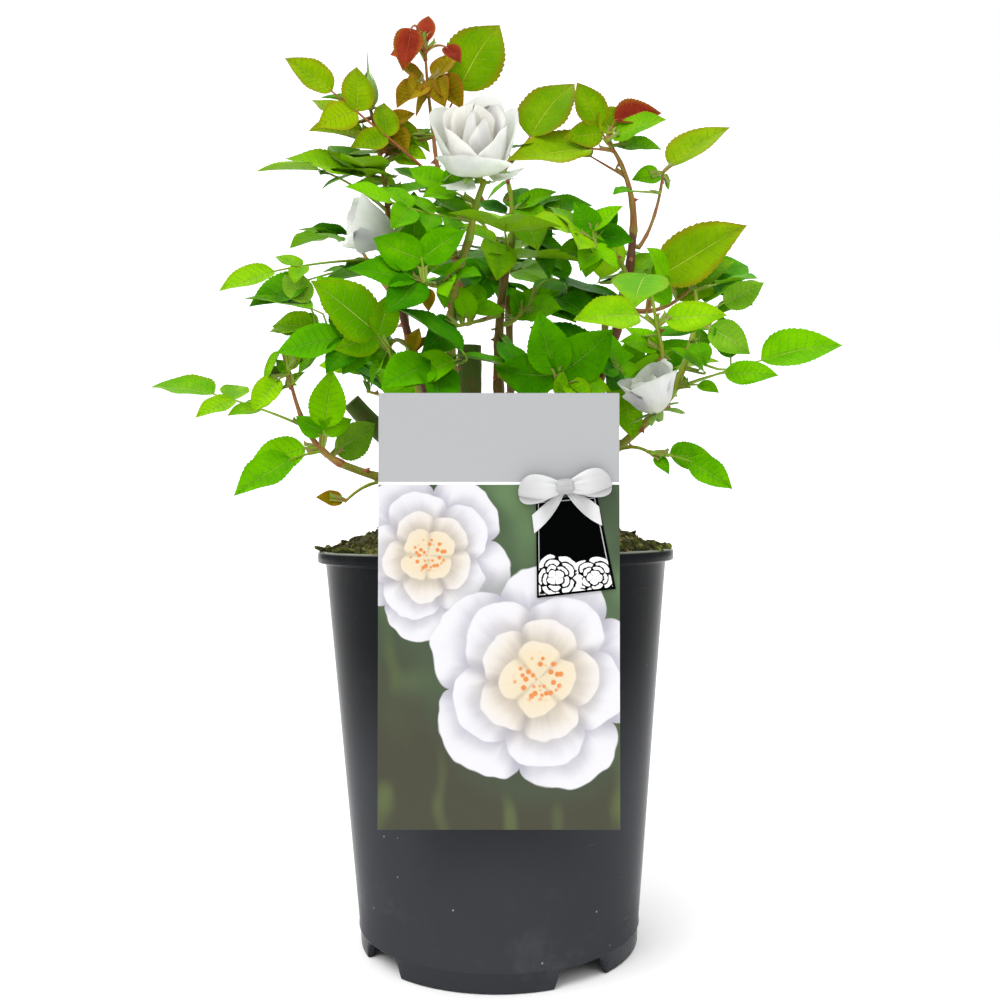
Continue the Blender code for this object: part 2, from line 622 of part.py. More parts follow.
def fan_leaves(name, limb, space, own):
    """Leaves of a shoot dealt round it by the rule of FANS."""
    solids = []
    for row in FANS:
        shoot, leaves, count, length, reach, bearing, spread, rise, seed = row
        if shoot != name:
            continue
        rng = random.Random(seed)
        for k in range(leaves):
            place = 0.15 + 0.83 * k / max(1, leaves - 1)
            turn = (k * 0.618034 % 1.0 - 0.5) * spread
            own_bearing = bearing + turn + rng.uniform(-8.0, 8.0)
            own_rise = rise + rng.uniform(-14.0, 18.0)
            own_reach = reach * rng.uniform(0.85, 1.05)
            size = length * rng.uniform(0.88, 1.08)
            start = limb.point(min(place, 0.985))
            tip = start + direction(own_bearing, own_rise) * (own_reach * MM)
            face = direction(own_bearing, 90.0 - rng.uniform(25.0, 50.0))
            solids += compound_leaf(start, tip, 5.0 * MM, count, size * MM,
                                    SIDE_SHARE, face, rng, space, own)
    return solids


# ---------------------------------------------------------------- flowers

def rose_body(base, axis, length, mouth):
    """Hip and half-open cup of five petals round a closed heart, as one shell."""
    radius = 0.5 * mouth
    # radius, height, share of the petal lobes in each
    rings = (
        (2.4 * MM, -2.6 * MM, 0.0), (3.0 * MM, 0.0, 0.0), (0.42 * radius, 0.10 * length, 0.0),
        (0.82 * radius, 0.34 * length, 0.3), (0.96 * radius, 0.66 * length, 0.7),
        (1.05 * radius, 0.92 * length, 1.0), (0.88 * radius, 0.93 * length, 0.8),
        (0.64 * radius, 0.76 * length, 0.2), (0.46 * radius, 0.92 * length, 0.0),
        (0.20 * radius, 1.00 * length, 0.0),
    )
    segments = 10
    turn = UP.rotation_difference(axis).to_matrix()
    points = [base - axis * (4.5 * MM)]
    for ring_radius, height, lobe in rings:
        for k in range(segments):
            angle = math.tau * k / segments
            wave = 1.0 if k % 2 == 0 else -1.0
            reach = ring_radius * (1.0 + 0.07 * lobe * wave)
            rise = height + 0.05 * length * lobe * wave
            points.append(base + turn @ Vector((reach * math.cos(angle), reach * math.sin(angle), rise)))
    points.append(base + axis * (0.96 * length))
    last = len(points) - 1
    faces = []
    for k in range(segments):
        j = (k + 1) % segments
        faces.append((0, 1 + j, 1 + k))
        for ring in range(len(rings) - 1):
            low = 1 + ring * segments
            faces.append((low + k, low + j, low + segments + j, low + segments + k))
        top = 1 + (len(rings) - 1) * segments
        faces.append((top + k, top + j, last))
    return outward(points, faces)


def bloom(base, axis, length, mouth):
    """Solids of a half-open rose: body and sepals."""
    axis = axis.normalized()
    solids = [rose_body(base, axis, length, mouth)]
    first = axis.orthogonal().normalized()
    second = axis.cross(first)
    for k in range(5):
        angle = math.radians(72.0 * k + 36.0)
        out = first * math.cos(angle) + second * math.sin(angle)
        solids.append(leaflet(base + out * (1.2 * MM), out - axis * 0.25, axis + out, 0.36 * mouth))
    return solids


def bud(base, axis, length, tip_length):
    """Solids of a closed bud with one drawn-out sepal tip."""
    axis = axis.normalized()
    return [
        lathe(((0.0, -1.5 * MM), (1.8 * MM, 0.0), (0.30 * length, 0.30 * length),
               (0.28 * length, 0.55 * length), (0.10 * length, 0.95 * length),
               (0.045 * length, length + 0.5 * tip_length),
               (0.0, length + tip_length)), 8, base, axis),
    ]


def flowers(name, limb):
    """Stalks, blooms and buds that stand on a shoot."""
    solids = []
    for row in BLOOMS:
        shoot, place, foot, axis, length, mouth = row
        if shoot != name:
            continue
        foot, axis = metres(foot), Vector(axis).normalized()
        root = limb.point(place)
        middle = root.lerp(foot, 0.55) - axis * (0.12 * (foot - root).length)
        solids.append(tube([root, middle, foot - axis * (3.0 * MM)], [1.5 * MM, 1.4 * MM, 1.6 * MM], 5))
        solids += bloom(foot, axis, length * MM, mouth * MM)
    for shoot, axis, length, tip_length in BUDS:
        if shoot == name:
            solids += bud(limb.point(0.99), Vector(axis), length * MM, tip_length * MM)
    return solids


# ---------------------------------------------------------------- joining

def islands(mesh):
    """Lists of face numbers, one for each connected shell."""
    owner = {}
    for polygon in mesh.polygons:
        for v in polygon.vertices:
            owner.setdefault(v, []).append(polygon.index)
    seen = set()
    groups = []
    for polygon in mesh.polygons:
        if polygon.index in seen:
            continue
        stack, group = [polygon.index], []
        seen.add(polygon.index)
        while stack:
            k = stack.pop()
            group.append(k)
            for v in mesh.polygons[k].vertices:
                for other in owner[v]:
                    if other not in seen:
                        seen.add(other)
                        stack.append(other)
        groups.append(group)
    return groups


def keep_main_shell(obj):
    """Fill sealed hollows and drop loose scraps: only the biggest shell stays."""
    mesh = obj.data
    points = [v.co.copy() for v in mesh.vertices]
    best, best_volume = None, 0.0
    groups = islands(mesh)
    for group in groups:
        volume = signed_volume(points, [tuple(mesh.polygons[k].vertices) for k in group])
        if volume > best_volume:
            best, best_volume = group, volume
    if len(groups) == 1:
        return
    keep = set(best)
    bm = bmesh.new()
    bm.from_mesh(mesh)
    bm.faces.ensure_lookup_table()
    bmesh.ops.delete(bm, geom=[f for f in bm.faces if f.index not in keep], context="FACES")
    bmesh.ops.delete(bm, geom=[v for v in bm.verts if not v.link_faces], context="VERTS")
    bm.to_mesh(mesh)
    bm.free()


def fuse(name, solids, mat, origin):
    """One Boolean union of all the solids into a single closed body."""
    obj = make_object(name, solids[0], mat, origin)
    helpers = bpy.data.collections.new(name + "_parts")
    bpy.context.scene.collection.children.link(helpers)
    for k, solid in enumerate(solids[1:]):
        piece = make_object("%s_part_%d" % (name, k), solid, mat, origin)
        bpy.context.scene.collection.objects.unlink(piece)
        helpers.objects.link(piece)
        piece.hide_render = True
        piece.display_type = "WIRE"
    union = obj.modifiers.new("union", "BOOLEAN")
    union.operation = "UNION"
    union.operand_type = "COLLECTION"
    union.collection = helpers
    union.solver = "MANIFOLD"
    bpy.context.view_layer.update()
    graph = bpy.context.evaluated_depsgraph_get()
    joined = bpy.data.meshes.new_from_object(obj.evaluated_get(graph))
    obj.modifiers.clear()
    obj.data = joined
    joined.name = name
    for piece in list(helpers.objects):
        bpy.data.objects.remove(piece, do_unlink=True)
    bpy.data.collections.remove(helpers)
    keep_main_shell(obj)
    return obj


def cut(obj, cutters):
    """Take the cutters out of an object and remove them."""
    for cutter in cutters:
        cutter.hide_render = True
        cutter.display_type = "WIRE"
        notch = obj.modifiers.new("cut", "BOOLEAN")
        notch.operation = "DIFFERENCE"
        notch.solver = "EXACT"
        notch.object = cutter
    bpy.context.view_layer.update()
    graph = bpy.context.evaluated_depsgraph_get()
    mesh = bpy.data.meshes.new_from_object(obj.evaluated_get(graph))
    obj.modifiers.clear()
    obj.data = mesh
    mesh.name = obj.name
    for cutter in cutters:
        bpy.data.objects.remove(cutter, do_unlink=True)


# ---------------------------------------------------------------- pot and soil

def wall_radius(height):
    """Outside radius of the pot wall at a height."""
    rise = (POT_HEIGHT - POT_LIP_HEIGHT)
    return POT_FOOT_RADIUS + (POT_TOP_RADIUS - POT_FOOT_RADIUS) * min(1.0, height / rise)


def build_pot():
    """Pot with a lip, a raised floor and four drain notches in its foot."""
    mat = material("pot_black_plastic", (0.030, 0.032, 0.034), 0.38)
    under_lip = POT_HEIGHT - POT_LIP_HEIGHT
    floor_top = POT_FLOOR_RISE + POT_FLOOR_THICKNESS
    profile = (
        (0.0, POT_FLOOR_RISE),
        (wall_radius(POT_FLOOR_RISE) - POT_FOOT_WIDTH, POT_FLOOR_RISE),
        (POT_FOOT_RADIUS - POT_FOOT_WIDTH, 0.0),
        (POT_FOOT_RADIUS, 0.0),
        (wall_radius(RIDGE_HEIGHT) - RIDGE_DEPTH, RIDGE_HEIGHT - 2.0 * RIDGE_DEPTH),
        (wall_radius(RIDGE_HEIGHT) + RIDGE_DEPTH, RIDGE_HEIGHT),
        (wall_radius(RIDGE_HEIGHT), RIDGE_HEIGHT + 2.0 * RIDGE_DEPTH),
        (POT_TOP_RADIUS, under_lip),
        (POT_RIM_RADIUS - 0.0006, under_lip + 0.0004),
        (POT_RIM_RADIUS, under_lip + 0.0012),
        (POT_RIM_RADIUS, POT_HEIGHT - 0.0010),
        (POT_RIM_RADIUS - 0.0010, POT_HEIGHT),
        (POT_RIM_RADIUS - POT_LIP_WIDTH, POT_HEIGHT),
        (POT_TOP_RADIUS - POT_WALL, under_lip),
        (wall_radius(floor_top) - POT_WALL - 0.0008, floor_top),
        (0.0, floor_top),
    )
    pot = make_object("pot", lathe(profile, POT_SEGMENTS), mat, (0.0, 0.0, 0.0), smooth=True)
    cutters = []
    half = math.radians(0.5 * NOTCH_ANGLE)
    for k, bearing in enumerate(NOTCH_BEARINGS):
        middle = math.radians(bearing)
        flat = []
        for along, height in ((-1.0, -0.002), (-0.80, NOTCH_HEIGHT * 0.75), (-0.62, NOTCH_HEIGHT),
                              (0.62, NOTCH_HEIGHT), (0.80, NOTCH_HEIGHT * 0.75), (1.0, -0.002)):
            flat.append((along, height))
        points = []
        for radius in (POT_FOOT_RADIUS - 0.012, POT_FOOT_RADIUS + 0.006):
            for along, height in flat:
                angle = middle + along * half
                reach = radius / math.cos(along * half)
                points.append(Vector((reach * math.cos(angle), reach * math.sin(angle), height)))
        count = len(flat)
        faces = [tuple(range(count)), tuple(range(2 * count - 1, count - 1, -1))]
        for n in range(count):
            m = (n + 1) % count
            faces.append((m, n, n + count, m + count))
        cutters.append(make_object("notch_%d" % k, outward(points, faces), mat, (0.0, 0.0, 0.0)))
    cut(pot, cutters)
    return pot


def build_root_ball():
    """Compost that fills the pot and stands heaped above the rim."""
    mat = material("compost", (0.050, 0.033, 0.022), 0.95)
    rng = random.Random(SOIL_SEED)
    bottom = POT_FLOOR_RISE + POT_FLOOR_THICKNESS + GAP
    foot = wall_radius(bottom) - POT_WALL - 0.0008 - 1.5 * GAP
    edge = wall_radius(SOIL_EDGE_HEIGHT) - POT_WALL - 1.5 * GAP
    under_lip = POT_HEIGHT - POT_LIP_HEIGHT
    shoulder = POT_TOP_RADIUS - POT_WALL - 1.5 * GAP
    profile = [(0.0, bottom), (foot, bottom), (shoulder, under_lip), (edge, SOIL_EDGE_HEIGHT)]
    heap = SOIL_TOP_HEIGHT - SOIL_EDGE_HEIGHT
    for share in (0.90, 0.76, 0.60, 0.42, 0.24):
        profile.append((edge * share, SOIL_EDGE_HEIGHT + heap * (1.0 - share ** 3)))
    profile.append((0.0, SOIL_TOP_HEIGHT))
    points, faces = lathe(profile, POT_SEGMENTS)
    for point in points:
        reach = math.hypot(point.x, point.y)
        if point.z > SOIL_EDGE_HEIGHT + 0.5 * MM and reach > SOIL_SMOOTH_RADIUS:
            point.z += rng.uniform(-1.0, 1.0) * SOIL_ROUGHNESS
    return make_object("root_ball", (points, faces), mat, (0.0, 0.0, bottom))


# ---------------------------------------------------------------- label

def rotated(outline, degrees, centre):
    """Outline in x and z turned about a centre."""
    c, s = math.cos(math.radians(degrees)), math.sin(math.radians(degrees))
    turned = []
    for x, z in outline:
        dx, dz = x - centre[0], z - centre[1]
        turned.append((centre[0] + dx * c + dz * s, centre[1] - dx * s + dz * c))
    return turned


def build_label():
    """Card that hangs on the rim, its clip, a small tag and a bow."""
    card_mat = material("card_print", (0.42, 0.50, 0.40), 0.45)
    clip_mat = material("clip_plastic", (0.62, 0.63, 0.64), 0.35)
    tag_mat = material("tag_print", (0.012, 0.012, 0.012), 0.40)
    bow_mat = material("bow_white", (0.82, 0.82, 0.82), 0.45)
    cx, cz = CARD_CENTRE
    half_w, half_h = 0.5 * CARD_WIDTH, 0.5 * CARD_HEIGHT
    corners = ((cx - half_w, cz - half_h), (cx + half_w, cz - half_h),
               (cx + half_w, cz + half_h), (cx - half_w, cz + half_h))
    outline = rotated(corners, CARD_TILT, CARD_CENTRE)
    card = plate(outline, CARD_FRONT, CARD_THICKNESS)
    make_object("label_card", card, card_mat, (cx, CARD_FRONT, cz))

    back = CARD_FRONT + CARD_THICKNESS + GAP
    outer = back + CLIP_THICKNESS
    inner = -(POT_RIM_RADIUS - POT_LIP_WIDTH) + 2.0 * CLIP_THICKNESS
    top = POT_HEIGHT + GAP
    side_view = (
        (back, top - CLIP_DROP), (outer, top - CLIP_DROP), (outer, top),
        (inner, top), (inner, top - CLIP_HOOK), (inner + CLIP_THICKNESS, top - CLIP_HOOK),
        (inner + CLIP_THICKNESS, top + CLIP_THICKNESS), (back, top + CLIP_THICKNESS),
    )
    half = 0.5 * CLIP_WIDTH
    points = [Vector((-half, y, z)) for y, z in side_view]
    points += [Vector((half, y, z)) for y, z in side_view]
    count = len(side_view)
    faces = [(0, 1, 2, 7), (2, 3, 6, 7), (3, 4, 5, 6)]
    faces += [tuple(k + count for k in reversed(face)) for face in faces]
    for k in range(count):
        j = (k + 1) % count
        faces.append((j, k, k + count, j + count))
    make_object("label_clip", outward(points, faces), clip_mat, (0.0, outer, top))

    tag_outline = [(x * MM, z * MM) for x, z in TAG_CORNERS]
    tag_front = CARD_FRONT - GAP - TAG_THICKNESS
    make_object("gift_tag", plate(tag_outline, tag_front, TAG_THICKNESS), tag_mat,
                (tag_outline[0][0], tag_front, tag_outline[0][1]))

    kx, kz = BOW_KNOT
    bow_back = tag_front - GAP
    tails = (
        ((-1.0, 1.0), (-3.5, -1.0), (-15.5, -17.0), (-10.6, -17.2), (-8.6, -20.6), (1.5, -1.5)),
        ((1.0, 1.0), (-1.5, -1.5), (9.0, -17.4), (11.8, -14.2), (16.6, -15.6), (3.5, -1.0)),
    )
    solids = []
    for tail in tails:
        tail_outline = [((kx + x) * MM, (kz + z) * MM) for x, z in tail]
        solids.append(plate(tail_outline, bow_back - 1.0 * MM, 1.0 * MM))
    for sign in (-1.0, 1.0):
        loop = []
        for k in range(14):
            angle = math.tau * k / 14
            reach = 0.5 - 0.5 * math.cos(angle)
            height = 8.8 * math.sin(angle) * (0.25 + 0.75 * reach)
            loop.append(((kx + sign * BOW_SPAN * reach) * MM, (kz + height + 0.6 * reach) * MM))
        solids.append(plate(loop, bow_back - 3.0 * MM, 2.6 * MM))
    knot = ((-3.4, -3.6), (3.4, -3.6), (4.2, 0.0), (3.4, 3.6), (-3.4, 3.6), (-4.2, 0.0))
    knot_outline = [((kx + x) * MM, (kz + z) * MM) for x, z in knot]
    solids.append(plate(knot_outline, bow_back - 3.8 * MM, 3.6 * MM))
    fuse("ribbon_bow", solids[::-1], bow_mat, (kx * MM, bow_back, kz * MM))


# ---------------------------------------------------------------- plant

def build_plant():
    """Knob, canes and leafy shoots, each in its own space."""
    bark = material("old_bark", (0.16, 0.11, 0.06), 0.80)
    green_bark = material("green_bark", (0.13, 0.14, 0.04), 0.65)
    red_bark = material("red_bark", (0.17, 0.06, 0.035), 0.60)
    leaf = material("rose_leaf", (0.13, 0.30, 0.03), 0.50)
    flowering = material("rose_leaf_and_bloom", (0.22, 0.36, 0.10), 0.50)
    space = Space()

    knob_bottom = SOIL_TOP_HEIGHT + GAP
    low = knob_bottom - KNOB_CENTRE.z
    knob_profile = [(0.0, low), (KNOB_FOOT_RADIUS, low)]
    for degrees in (-45, -20, 5, 30, 55, 75):
        angle = math.radians(degrees)
        knob_profile.append((KNOB_RADIUS * math.cos(angle), KNOB_RADIUS * math.sin(angle)))
    knob_profile.append((0.0, KNOB_RADIUS))
    knob = lathe(knob_profile, 16, KNOB_CENTRE)
    make_object("stem_base", knob, bark, (0.0, 0.0, knob_bottom), smooth=True)
    space.add([knob])

    canes = {}
    for row in CANES:
        name = row[0]
        limb = cane_limb(row)
        canes[name] = limb
        solid = limb.solid(6, 7)
        mat = red_bark if name in ("left_cane", "right_cane", "centre_right_cane") else green_bark
        make_object(name, solid, mat, limb.start, smooth=True)
        space.add([solid])

    for name in ("label_card", "label_clip", "gift_tag", "ribbon_bow", "pot", "root_ball"):
        obj = bpy.data.objects[name]
        points = [obj.location + v.co for v in obj.data.vertices]
        faces = [tuple(p.vertices) for p in obj.data.polygons]
        space.add([(points, faces)])

    limbs = {row[0]: shoot_limb(row, canes) for row in SHOOTS}
    stems = {name: [limb.solid(5, 5)] + flowers(name, limb) for name, limb in limbs.items()}
    for name, limb in limbs.items():
        others, own = Space(), Space()
        others.taken = list(space.taken)
        for other, solids in stems.items():
            if other != name:
                others.add(solids)
        for solid in stems[name][1:]:
            own.add([solid])
        solids = list(stems[name])
        solids += table_leaves(name, limb, others, own)
        solids += fan_leaves(name, limb, others, own)
        space.add(solids)
        blooming = any(name == row[0] for row in BLOOMS)
        fuse(name, solids, flowering if blooming else leaf, limb.start)


def main():
    clear_scene()
    build_pot()
    build_root_ball()
    build_label()
    build_plant()


main()
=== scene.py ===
"""Potted rose bush: the finished look of the plant, its pot, soil and label.

Lengths are metres and +Z is up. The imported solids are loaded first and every
piece made here rides on their body. The plant's tables are in millimetres and
degrees and are the ones its solids were grown from, so each twig and leaf is
grown again in its own place.
"""
import json
import math
import random
from collections import namedtuple

import bmesh
import bpy
from bpy.props import FloatProperty, FloatVectorProperty, IntProperty, PointerProperty
from mathutils import Matrix, Vector, noise
from mathutils.kdtree import KDTree

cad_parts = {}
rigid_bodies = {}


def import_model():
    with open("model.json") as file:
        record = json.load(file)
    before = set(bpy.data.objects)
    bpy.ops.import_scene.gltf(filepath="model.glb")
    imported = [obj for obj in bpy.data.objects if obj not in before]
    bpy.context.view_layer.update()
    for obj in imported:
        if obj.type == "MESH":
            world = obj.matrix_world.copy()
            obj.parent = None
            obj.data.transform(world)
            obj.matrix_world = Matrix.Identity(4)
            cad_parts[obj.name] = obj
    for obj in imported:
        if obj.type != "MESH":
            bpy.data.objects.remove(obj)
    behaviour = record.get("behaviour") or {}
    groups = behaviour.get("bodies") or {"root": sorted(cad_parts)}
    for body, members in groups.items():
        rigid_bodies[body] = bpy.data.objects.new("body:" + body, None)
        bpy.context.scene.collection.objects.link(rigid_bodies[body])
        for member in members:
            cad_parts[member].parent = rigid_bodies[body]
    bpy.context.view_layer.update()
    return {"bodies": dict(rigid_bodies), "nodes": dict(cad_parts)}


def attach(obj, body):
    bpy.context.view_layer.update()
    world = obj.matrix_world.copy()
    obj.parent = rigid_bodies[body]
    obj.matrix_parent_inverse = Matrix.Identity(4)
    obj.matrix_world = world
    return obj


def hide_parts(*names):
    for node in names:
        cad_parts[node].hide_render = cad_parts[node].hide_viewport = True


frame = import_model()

bl_info = {
    "name": "Potted rose bush",
    "version": (1, 0, 0),
    "blender": (4, 5, 0),
    "location": "3D View > Sidebar > Rose bush",
    "description": "Grows a young rose bush in a nursery pot round its packed solids",
    "category": "Object",
}

MM = 0.001
UP = Vector((0.0, 0.0, 1.0))

# Pot and soil, as the solids have them
POT_HEIGHT = 0.2012
POT_RIM_RADIUS = 0.0925
POT_TOP_RADIUS = 0.0884
POT_FOOT_RADIUS = 0.0715
POT_WALL = 0.0016
POT_LIP_HEIGHT = 0.0060
POT_LIP_WIDTH = 0.0038
POT_FLOOR_RISE = 0.0090
POT_FLOOR_THICKNESS = 0.0020
POT_FOOT_WIDTH = 0.0026
RIDGE_HEIGHT = 0.0100
NOTCH_HEIGHT = 0.0088
NOTCH_ANGLE = 26.0
NOTCH_BEARINGS = (-143.0, -57.0, 37.0, 123.0)
SOIL_EDGE_HEIGHT = 0.1972
SOIL_TOP_HEIGHT = 0.2165
SOIL_HEAP_EDGE = 0.2022           # the loose compost stands above the lip
CRUMB_SEED = 31
CRUMB_STRETCHES = (1.0,) * 9 + (2.6,) * 3     # three of the shapes are fibres

# Label card, tag and bow
CARD_WIDTH = 0.1055
CARD_HEIGHT = 0.1903
CARD_THICKNESS = 0.0008
CARD_CENTRE = (0.0012, 0.1770)
CARD_FRONT = -0.0949
CARD_TILT = 0.55
TAG_CORNERS = ((17.8, 182.4), (52.3, 186.0), (44.5, 227.1), (17.8, 225.1))
TAG_THICKNESS = 0.0006
CARD_BEVEL = 0.0001
CLIP_BEVEL = 0.00018
BOW_KNOT = (31.0, 231.3)
RIBBON_THICKNESS = 0.00035

# Stem base, leaves
KNOB_CENTRE = Vector((0.0, 0.0, 0.2330))
KNOB_RADIUS = 0.0148
GAP = 0.3 * MM
CLEAR = 0.5 * MM
LEAF_WIDTH = 0.62
LEAF_DROOP = 0.10
LEAF_FOLD = 0.20
LEAF_THICKNESS = 0.017
LEAF_THINNEST = 0.00055
SIDE_SHARE = 0.94
SAME_PLACE = 0.06 * MM            # a grown point matches a solid's corner this closely
LAST_PLACE = 0.985                # furthest place along a limb that something stands on
LEAF_SEED = 100                   # seed of the first row of LEAVES
LEAFLET_SEED = 50                 # seed of the first tone's leaflets

# Stage: the camera's tilt is from straight down, its shift in shares of its width
CAMERA_PLACE = (0.0, -0.55, 0.21779)
CAMERA_TILT = 90.9455
CAMERA_ROLL = -0.5428
CAMERA_SHIFT = 0.00488
FLOOR_REACH = 6.0
FLOOR_LEVEL = -0.0002
LIGHT_AIM = Vector((0.0, 0.0, 0.24))
# name, which is also the setting of its power, kind, place, width or angle
LIGHTS = (
    ("key", "AREA", (-0.9, -1.3, 1.5), 0.9),
    ("fill", "AREA", (1.3, -1.2, 0.8), 1.2),
    ("high", "SUN", (-0.5, -0.7, 1.4), 0.5),
)

# name, bearing and rise of the foot on the knob, tip, bow, foot and tip radius
CANES = (
    ("left_cane", -178, 22, (-52, -12, 347), (-2, 4, -9), 3.4, 2.3),
    ("centre_left_cane", -112, 38, (-12, -30, 357), (-13, 0, 0), 3.2, 2.3),
    ("centre_right_cane", 5, 64, (7, 0, 349), (-5, 4, 0), 3.6, 2.5),
    ("right_cane", -10, 24, (76, 10, 371), (11, 0, -14), 3.6, 2.5),
    ("low_right_cane", -38, -4, (90, -20, 279), (1, 0, -10), 3.0, 2.4),
    ("low_left_cane", -155, -8, (-76, -34, 245), (0, 0, -3), 2.9, 2.3),
    ("left_stub", 158, -4, (-75, -5, 279), (0, 3, -5), 4.4, 4.1),
    ("centre_stub", 150, 52, (-13, 8, 310), (-1, 1, 0), 5.6, 5.3),
    ("back_left_cane", 122, 8, (-52, 60, 338), (-8, 6, -8), 3.3, 2.3),
    ("back_cane", 80, 34, (8, 62, 352), (4, 8, -10), 3.3, 2.3),
    ("back_right_cane", 35, 6, (66, 62, 334), (10, 6, -10), 3.3, 2.3),
)

# name, cane it stands on, place along the cane, tip, bow, foot and tip radius
SHOOTS = (
    ("low_left_shoot", "low_left_cane", 1.00, (-101, -40, 291), (-3, 0, -7), 2.1, 0.9),
    ("low_left_twig", "low_left_cane", 0.65, (-72, -50, 226), (0, 0, 3), 1.1, 0.8),
    ("left_shoot", "left_cane", 1.00, (-63, -16, 431), (2, 0, 2), 2.2, 1.0),
    ("left_front_twig", "left_cane", 0.69, (-51, -45, 299), (-1, -8, 4), 1.5, 1.0),
    ("top_bloom_shoot", "centre_left_cane", 1.00, (-4, -38, 383), (-1, 0, 0), 2.1, 1.7),
    ("red_tip_shoot", "centre_left_cane", 0.91, (-34, -20, 460), (-2, 6, -3), 1.9, 0.8),
    ("centre_left_twig", "centre_left_cane", 0.79, (-33, -52, 330), (0, 0, 0), 1.4, 1.0),
    ("centre_right_shoot", "centre_right_cane", 1.00, (6, -4, 403), (4, 0, 0), 2.3, 1.1),
    ("inner_left_twig", "centre_right_cane", 0.76, (-18, -34, 313), (-1, -7, -2), 1.4, 1.0),
    ("inner_right_twig", "centre_right_cane", 0.72, (20, 4, 332), (0, 0, -2), 1.4, 1.0),
    ("right_shoot", "right_cane", 1.00, (61, 2, 418), (4, 0, 3), 2.2, 1.1),
    ("right_side_twig", "right_cane", 0.96, (94, 20, 407), (2, 0, -3), 1.3, 0.9),
    ("right_inner_twig", "right_cane", 0.86, (52, -12, 361), (1, -6, 2), 1.4, 0.9),
    ("right_mid_shoot", "right_cane", 0.76, (103, -6, 336), (1, 4, -4), 1.7, 1.0),
    ("low_right_shoot", "low_right_cane", 1.00, (105, -10, 337), (5, 0, 3), 2.1, 1.0),
    ("right_bloom_shoot", "low_right_cane", 0.89, (78, -52, 309), (3, -4, 2), 1.7, 1.1),
    ("low_right_twig", "low_right_cane", 0.61, (77, -40, 248), (0, 0, 3), 1.2, 0.9),
    ("centre_front_twig", "centre_right_cane", 0.44, (32, -48, 282), (0, -6, -6), 1.8, 1.2),
    ("left_low_front_twig", "centre_left_cane", 0.40, (-24, -42, 293), (0, -2, -3), 1.6, 1.1),
    ("right_front_twig", "right_cane", 0.53, (64, -30, 290), (0, -6, -4), 1.6, 1.1),
    ("back_left_shoot", "back_left_cane", 1.00, (-84, 70, 388), (-4, 4, 4), 2.0, 1.0),
    ("back_shoot", "back_cane", 1.00, (-14, 66, 404), (4, 6, 2), 2.0, 1.0),
    ("back_right_shoot", "back_right_cane", 1.00, (96, 66, 372), (2, 4, 4), 2.0, 1.0),
    ("back_low_left_twig", "back_left_cane", 0.50, (-74, 58, 292), (0, 4, 2), 1.6, 1.0),
    ("back_low_right_twig", "back_right_cane", 0.50, (88, 56, 290), (0, 4, 2), 1.6, 1.0),
)

